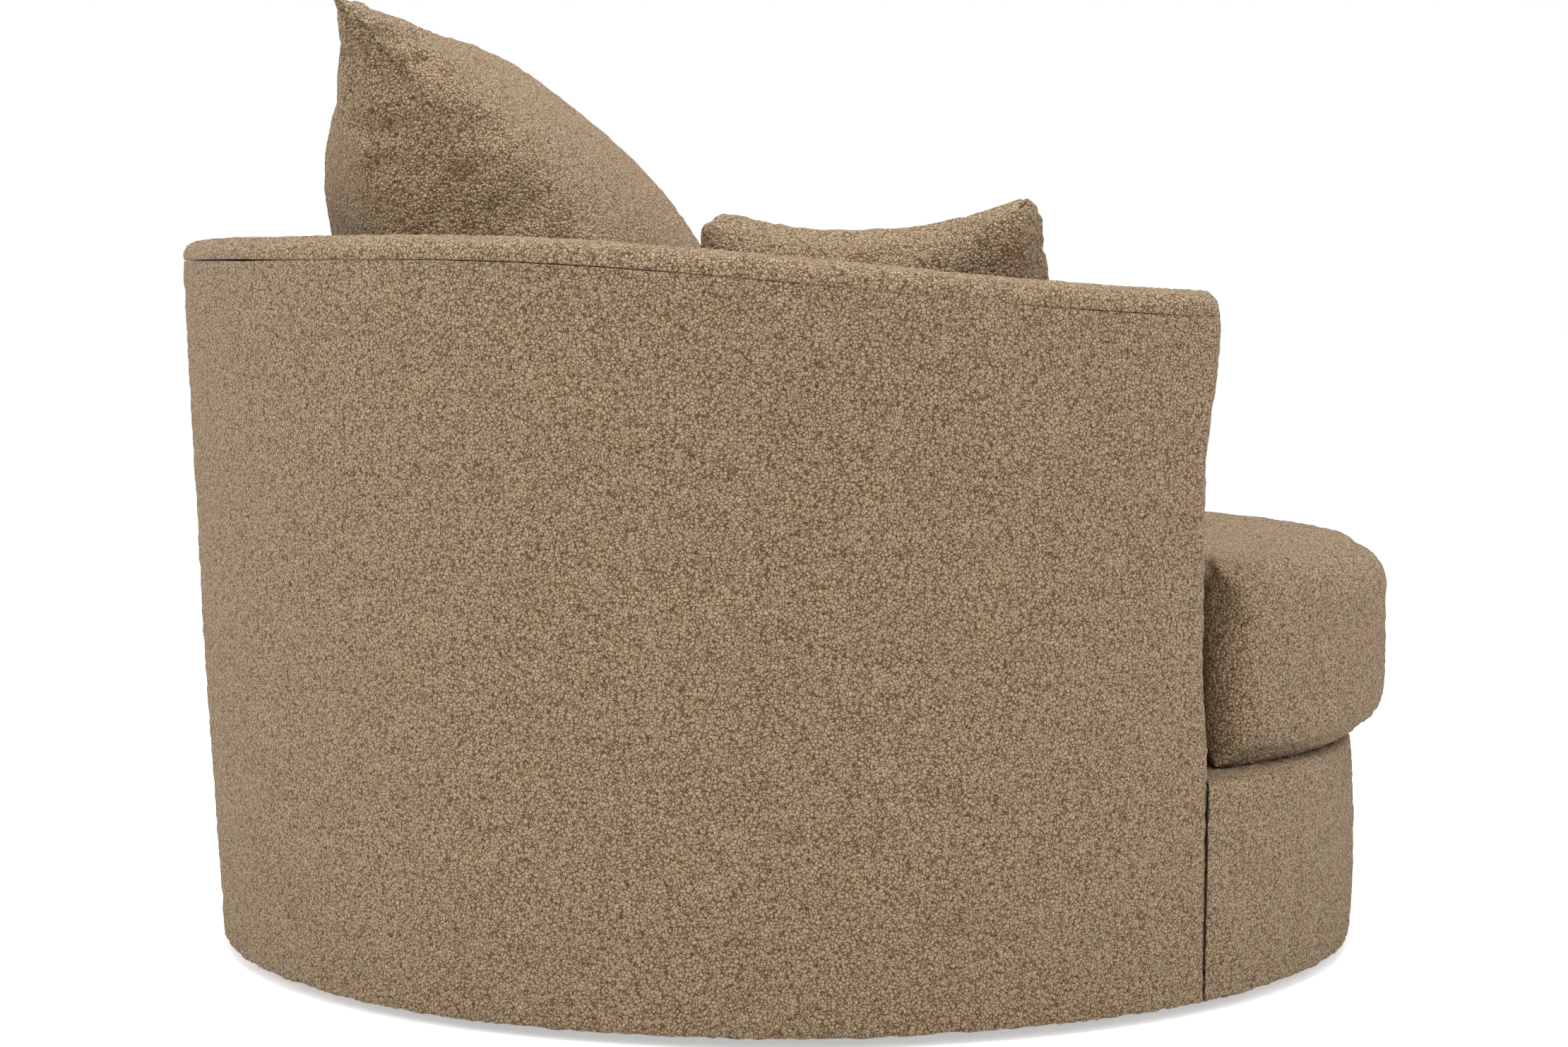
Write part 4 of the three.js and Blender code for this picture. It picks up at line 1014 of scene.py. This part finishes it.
# A cushion's form: how far it sags towards its foot, how far the middles of its sides are pulled in and
# how evenly, how far it puffs out past the seam and the seam's groove is sunk, how far its corners
# stick out as horns and flop back, how slim they are, how pointed its crown is, and the back panel's
# depth as a share of the front one's.
BACK_FORM = {"sag": 0.42, "pull": (0.075, 0.11), "pull_power": 6, "puff": (0.024, 0.004),
             "groove": 0.004, "horn": 0.018, "flop": 0.032, "slim": 0.86, "crown_power": 0.52,
             "back": 0.92}
BACK_CAP = 0.016
# Each fold's start, end, width and depth.
BACK_FOLDS = (((0.345, 0.350, 0.834), (0.285, 0.485, 0.842), 0.009, 0.008),
              ((0.342, 0.395, 0.925), (0.240, 0.318, 0.905), 0.012, 0.004),
              ((0.330, 0.270, 0.790), (0.290, 0.210, 0.700), 0.014, 0.003))
SAG_LEVEL = 0.2
EDGE_STEP_SHARE = 0.45
PUFF_REACH = 0.1
PUFF_FADE_POWER = 4
GROOVE_WIDTH = 0.006
CORNER_POWER = 6
TIP_POWER = 30
TIP_TRIM = 0.014
SLIM_POWER = 3.2
PUCKER_HEIGHT = 0.0022
PUCKER_SIZE = (0.03, 0.1)
PUCKER_REACH = 0.16
PUCKER_SEED = 10
PILLOW_STEP = 0.0062
FILL_PRESSURE = 4.0
FILL_FRAMES = 20
CLOTH_SPARE = -0.03
CLOTH_STIFFNESS = 1.0
CLOTH_QUALITY = 6
LEAST_MOVE = 1e-9
FOLD_RIDGE_SHARE = 0.35
FOLD_RIDGE_PLACE = 2
FOLD_FADE_POWER = 0.6
SEAT_CLEARANCE = 0.0006


def pillow(name, size, form):
    """Two crowned panels that meet in a seam round their edges, upright and facing along Z."""
    width, height, thickness = size
    across, up = (np.linspace(-1, 1, round(length / PILLOW_STEP) + 1) for length in (width, height))
    across, up = ((1 - EDGE_STEP_SHARE) * share + EDGE_STEP_SHARE * np.sin(share * math.pi / 2)
                  for share in (across, up))
    u, v = np.meshgrid(across, up)
    diagonal = np.abs(u) * np.abs(v)
    corner = diagonal ** CORNER_POWER
    ear = form["horn"] * corner - TIP_TRIM * diagonal ** TIP_POWER
    flat = []
    ways = zip((u, v), (v, u), (width, height), form["pull"], form["puff"])
    for share, other, length, pull, puff in ways:
        inward = (1 - np.abs(share)) / PUFF_REACH
        seam = np.exp(-((1 - np.abs(share)) * length / 2 / GROOVE_WIDTH) ** 2)
        swell = puff * inward * np.exp(1 - inward) * (1 - other ** PUFF_FADE_POWER)
        out = swell - form["groove"] * seam
        pulled = 1 - pull * (1 - np.abs(other) ** form["pull_power"])
        flat.append(length / 2 * share * pulled + np.sign(share) * (out + ear))
    x, y = flat
    crown = thickness / 2 * np.maximum((1 - u ** 2) * (1 - v ** 2), 0) ** form["crown_power"]
    crown = crown * (1 - form["slim"] * diagonal ** SLIM_POWER)
    puckers = np.zeros(u.size)
    for edge, along in ((u, y), (v, x)):
        inward = 1 - np.abs(edge)
        grid = np.stack([along / PUCKER_SIZE[0], inward / PUCKER_SIZE[1], np.sign(edge)], axis=-1)
        fade = np.exp(-inward / PUCKER_REACH).ravel()
        puckers += lumps(grid.reshape(-1, 3), 1.0, PUCKER_SEED) * fade
    puckers = np.maximum(PUCKER_HEIGHT * puckers.reshape(u.shape), -crown / 2) * (crown > 0)
    middle = -form["flop"] * corner
    front = np.stack([x, y, (crown + puckers) * (1 - form["sag"] * (v + SAG_LEVEL)) + middle], axis=-1)
    back = np.stack([x, y, -form["back"] * crown - puckers[:, ::-1] + middle], axis=-1)
    index = np.arange(u.size).reshape(u.shape)
    inside = np.zeros(u.shape, bool)
    inside[1:-1, 1:-1] = True
    back_index = index.copy()
    back_index[inside] = u.size + np.arange(inside.sum())

    def quads(grid):
        corners = [grid[:-1, :-1], grid[:-1, 1:], grid[1:, 1:], grid[1:, :-1]]
        return np.stack(corners, axis=-1).reshape(-1, 4)

    points = np.concatenate([front.reshape(-1, 3), back[inside]])
    piece = mesh_piece(name, points, quads(index).tolist() + quads(back_index)[:, ::-1].tolist())
    piece.vertex_groups.new(name="seam").add(index[~inside].tolist(), 1.0, "REPLACE")
    return piece


def fill_out(piece, cap):
    """Blows a cushion up with its seam held, so that its cloth creases by itself, up to a cap."""
    start = read_points(piece)
    cloth = piece.modifiers.new("Filling", "CLOTH")
    cloth.settings.quality = CLOTH_QUALITY
    cloth.settings.use_pressure = True
    cloth.settings.uniform_pressure_force = FILL_PRESSURE
    cloth.settings.shrink_min = CLOTH_SPARE
    cloth.settings.bending_stiffness = CLOTH_STIFFNESS
    cloth.settings.vertex_group_mass = "seam"
    cloth.settings.effector_weights.gravity = 0
    cloth.point_cache.frame_start = 1
    cloth.point_cache.frame_end = FILL_FRAMES
    for frame in range(1, FILL_FRAMES + 1):
        scene.frame_set(frame)
    freeze(piece)
    scene.frame_set(1)
    move = read_points(piece) - start
    length = np.maximum(np.linalg.norm(move, axis=1), LEAST_MOVE)[:, None]
    write_points(piece, start + move * (cap * np.tanh(length / cap) / length))


def crease(piece, folds):
    """Presses folds into both ends of a cushion: each runs between two points and dies out there."""
    points = read_points(piece)
    normals = read_normals(piece)
    for side in (1, -1):
        for start, end, width, depth in folds:
            start = np.array(start) * (side, 1, 1)
            run = np.array(end) * (side, 1, 1) - start
            share = np.clip((points - start) @ run / (run @ run), 0, 1)
            away = np.linalg.norm(points - start - share[:, None] * run, axis=1) / width
            ridge = FOLD_RIDGE_SHARE * np.exp(-(away - FOLD_RIDGE_PLACE) ** 2)
            press = np.exp(-away ** 2) - ridge
            points -= normals * (depth * press * np.sin(math.pi * share) ** FOLD_FADE_POWER)[:, None]
    write_points(piece, points)


def settle(piece, lean, turn, place, tilt=0.0):
    """Tilts a cushion in its own plane, leans it back, turns it and sets it on the seat cushion."""
    points = read_points(piece)
    points[:, 1] += points[:, 0] * math.sin(tilt)
    up = np.array([0, math.sin(lean), math.cos(lean)])
    forward = np.array([0, -math.cos(lean), math.sin(lean)])
    posed = points[:, :1] * np.array([1, 0, 0]) + points[:, 1:2] * up + points[:, 2:] * forward
    cosine = math.cos(turn)
    sine = math.sin(turn)
    spin = np.array([[cosine, -sine, 0], [sine, cosine, 0], [0, 0, 1]])
    write_points(piece, posed @ spin.T + np.array(place))


seat_points = read_points(seat)
seat_tops = seat_points[seat_points[:, 2] > SEAT_BORDER_TOP - SEAT_VOXEL]


def rest_on_seat(piece):
    """Lifts every point that is below the seat cushion's crown onto it."""
    points = read_points(piece)
    tree = plan_tree(seat_tops)
    low = points[:, 2] < SEAT_BORDER_TOP + 2 * SEAT_CROWN
    for row in np.flatnonzero(low):
        top = seat_tops[tree.find((points[row, 0], points[row, 1], 0))[1]][2]
        points[row, 2] = max(points[row, 2], top + SEAT_CLEARANCE)
    write_points(piece, points)


back_cushion = pillow("back_cushion_boucle", BACK_SIZE, BACK_FORM)
fill_out(back_cushion, BACK_CAP)
settle(back_cushion, BACK_LEAN, 0.0, BACK_PLACE)
crease(back_cushion, BACK_FOLDS)
boucle_nap(back_cushion, CUSHION_SWELL)
rest_on_seat(back_cushion)
upholster(back_cushion, "back_cushion", "back_cushion")


# Scatter cushion. A small square knife-edge cushion in the same cloth, tightly filled, with blunt
# corners and hollow edges. It is turned into the corner between the right arm and the back cushion.
SCATTER_SIZE = (0.396, 0.392, 0.142)
SCATTER_LEAN = math.radians(21)
SCATTER_TURN = math.radians(58)
SCATTER_PLACE = (-0.275, -0.108, 0.596)
SCATTER_TILT = math.radians(-1.9)
SCATTER_FORM = {"sag": 0.1, "pull": (0.12, 0.2), "pull_power": 2.2, "puff": (0.010, 0.002),
                "groove": 0.003, "horn": -0.018, "flop": 0.0, "slim": 0.0, "crown_power": 0.36,
                "back": 1.0}
SCATTER_CAP = 0.006

scatter = pillow("scatter_cushion_boucle", SCATTER_SIZE, SCATTER_FORM)
fill_out(scatter, SCATTER_CAP)
settle(scatter, SCATTER_LEAN, SCATTER_TURN, SCATTER_PLACE, SCATTER_TILT)
boucle_nap(scatter, CUSHION_SWELL)
rest_on_seat(scatter)
upholster(scatter, "scatter_cushion", "scatter_cushion")


# Brings the scene up to date once every piece is in place.
bpy.context.view_layer.update()
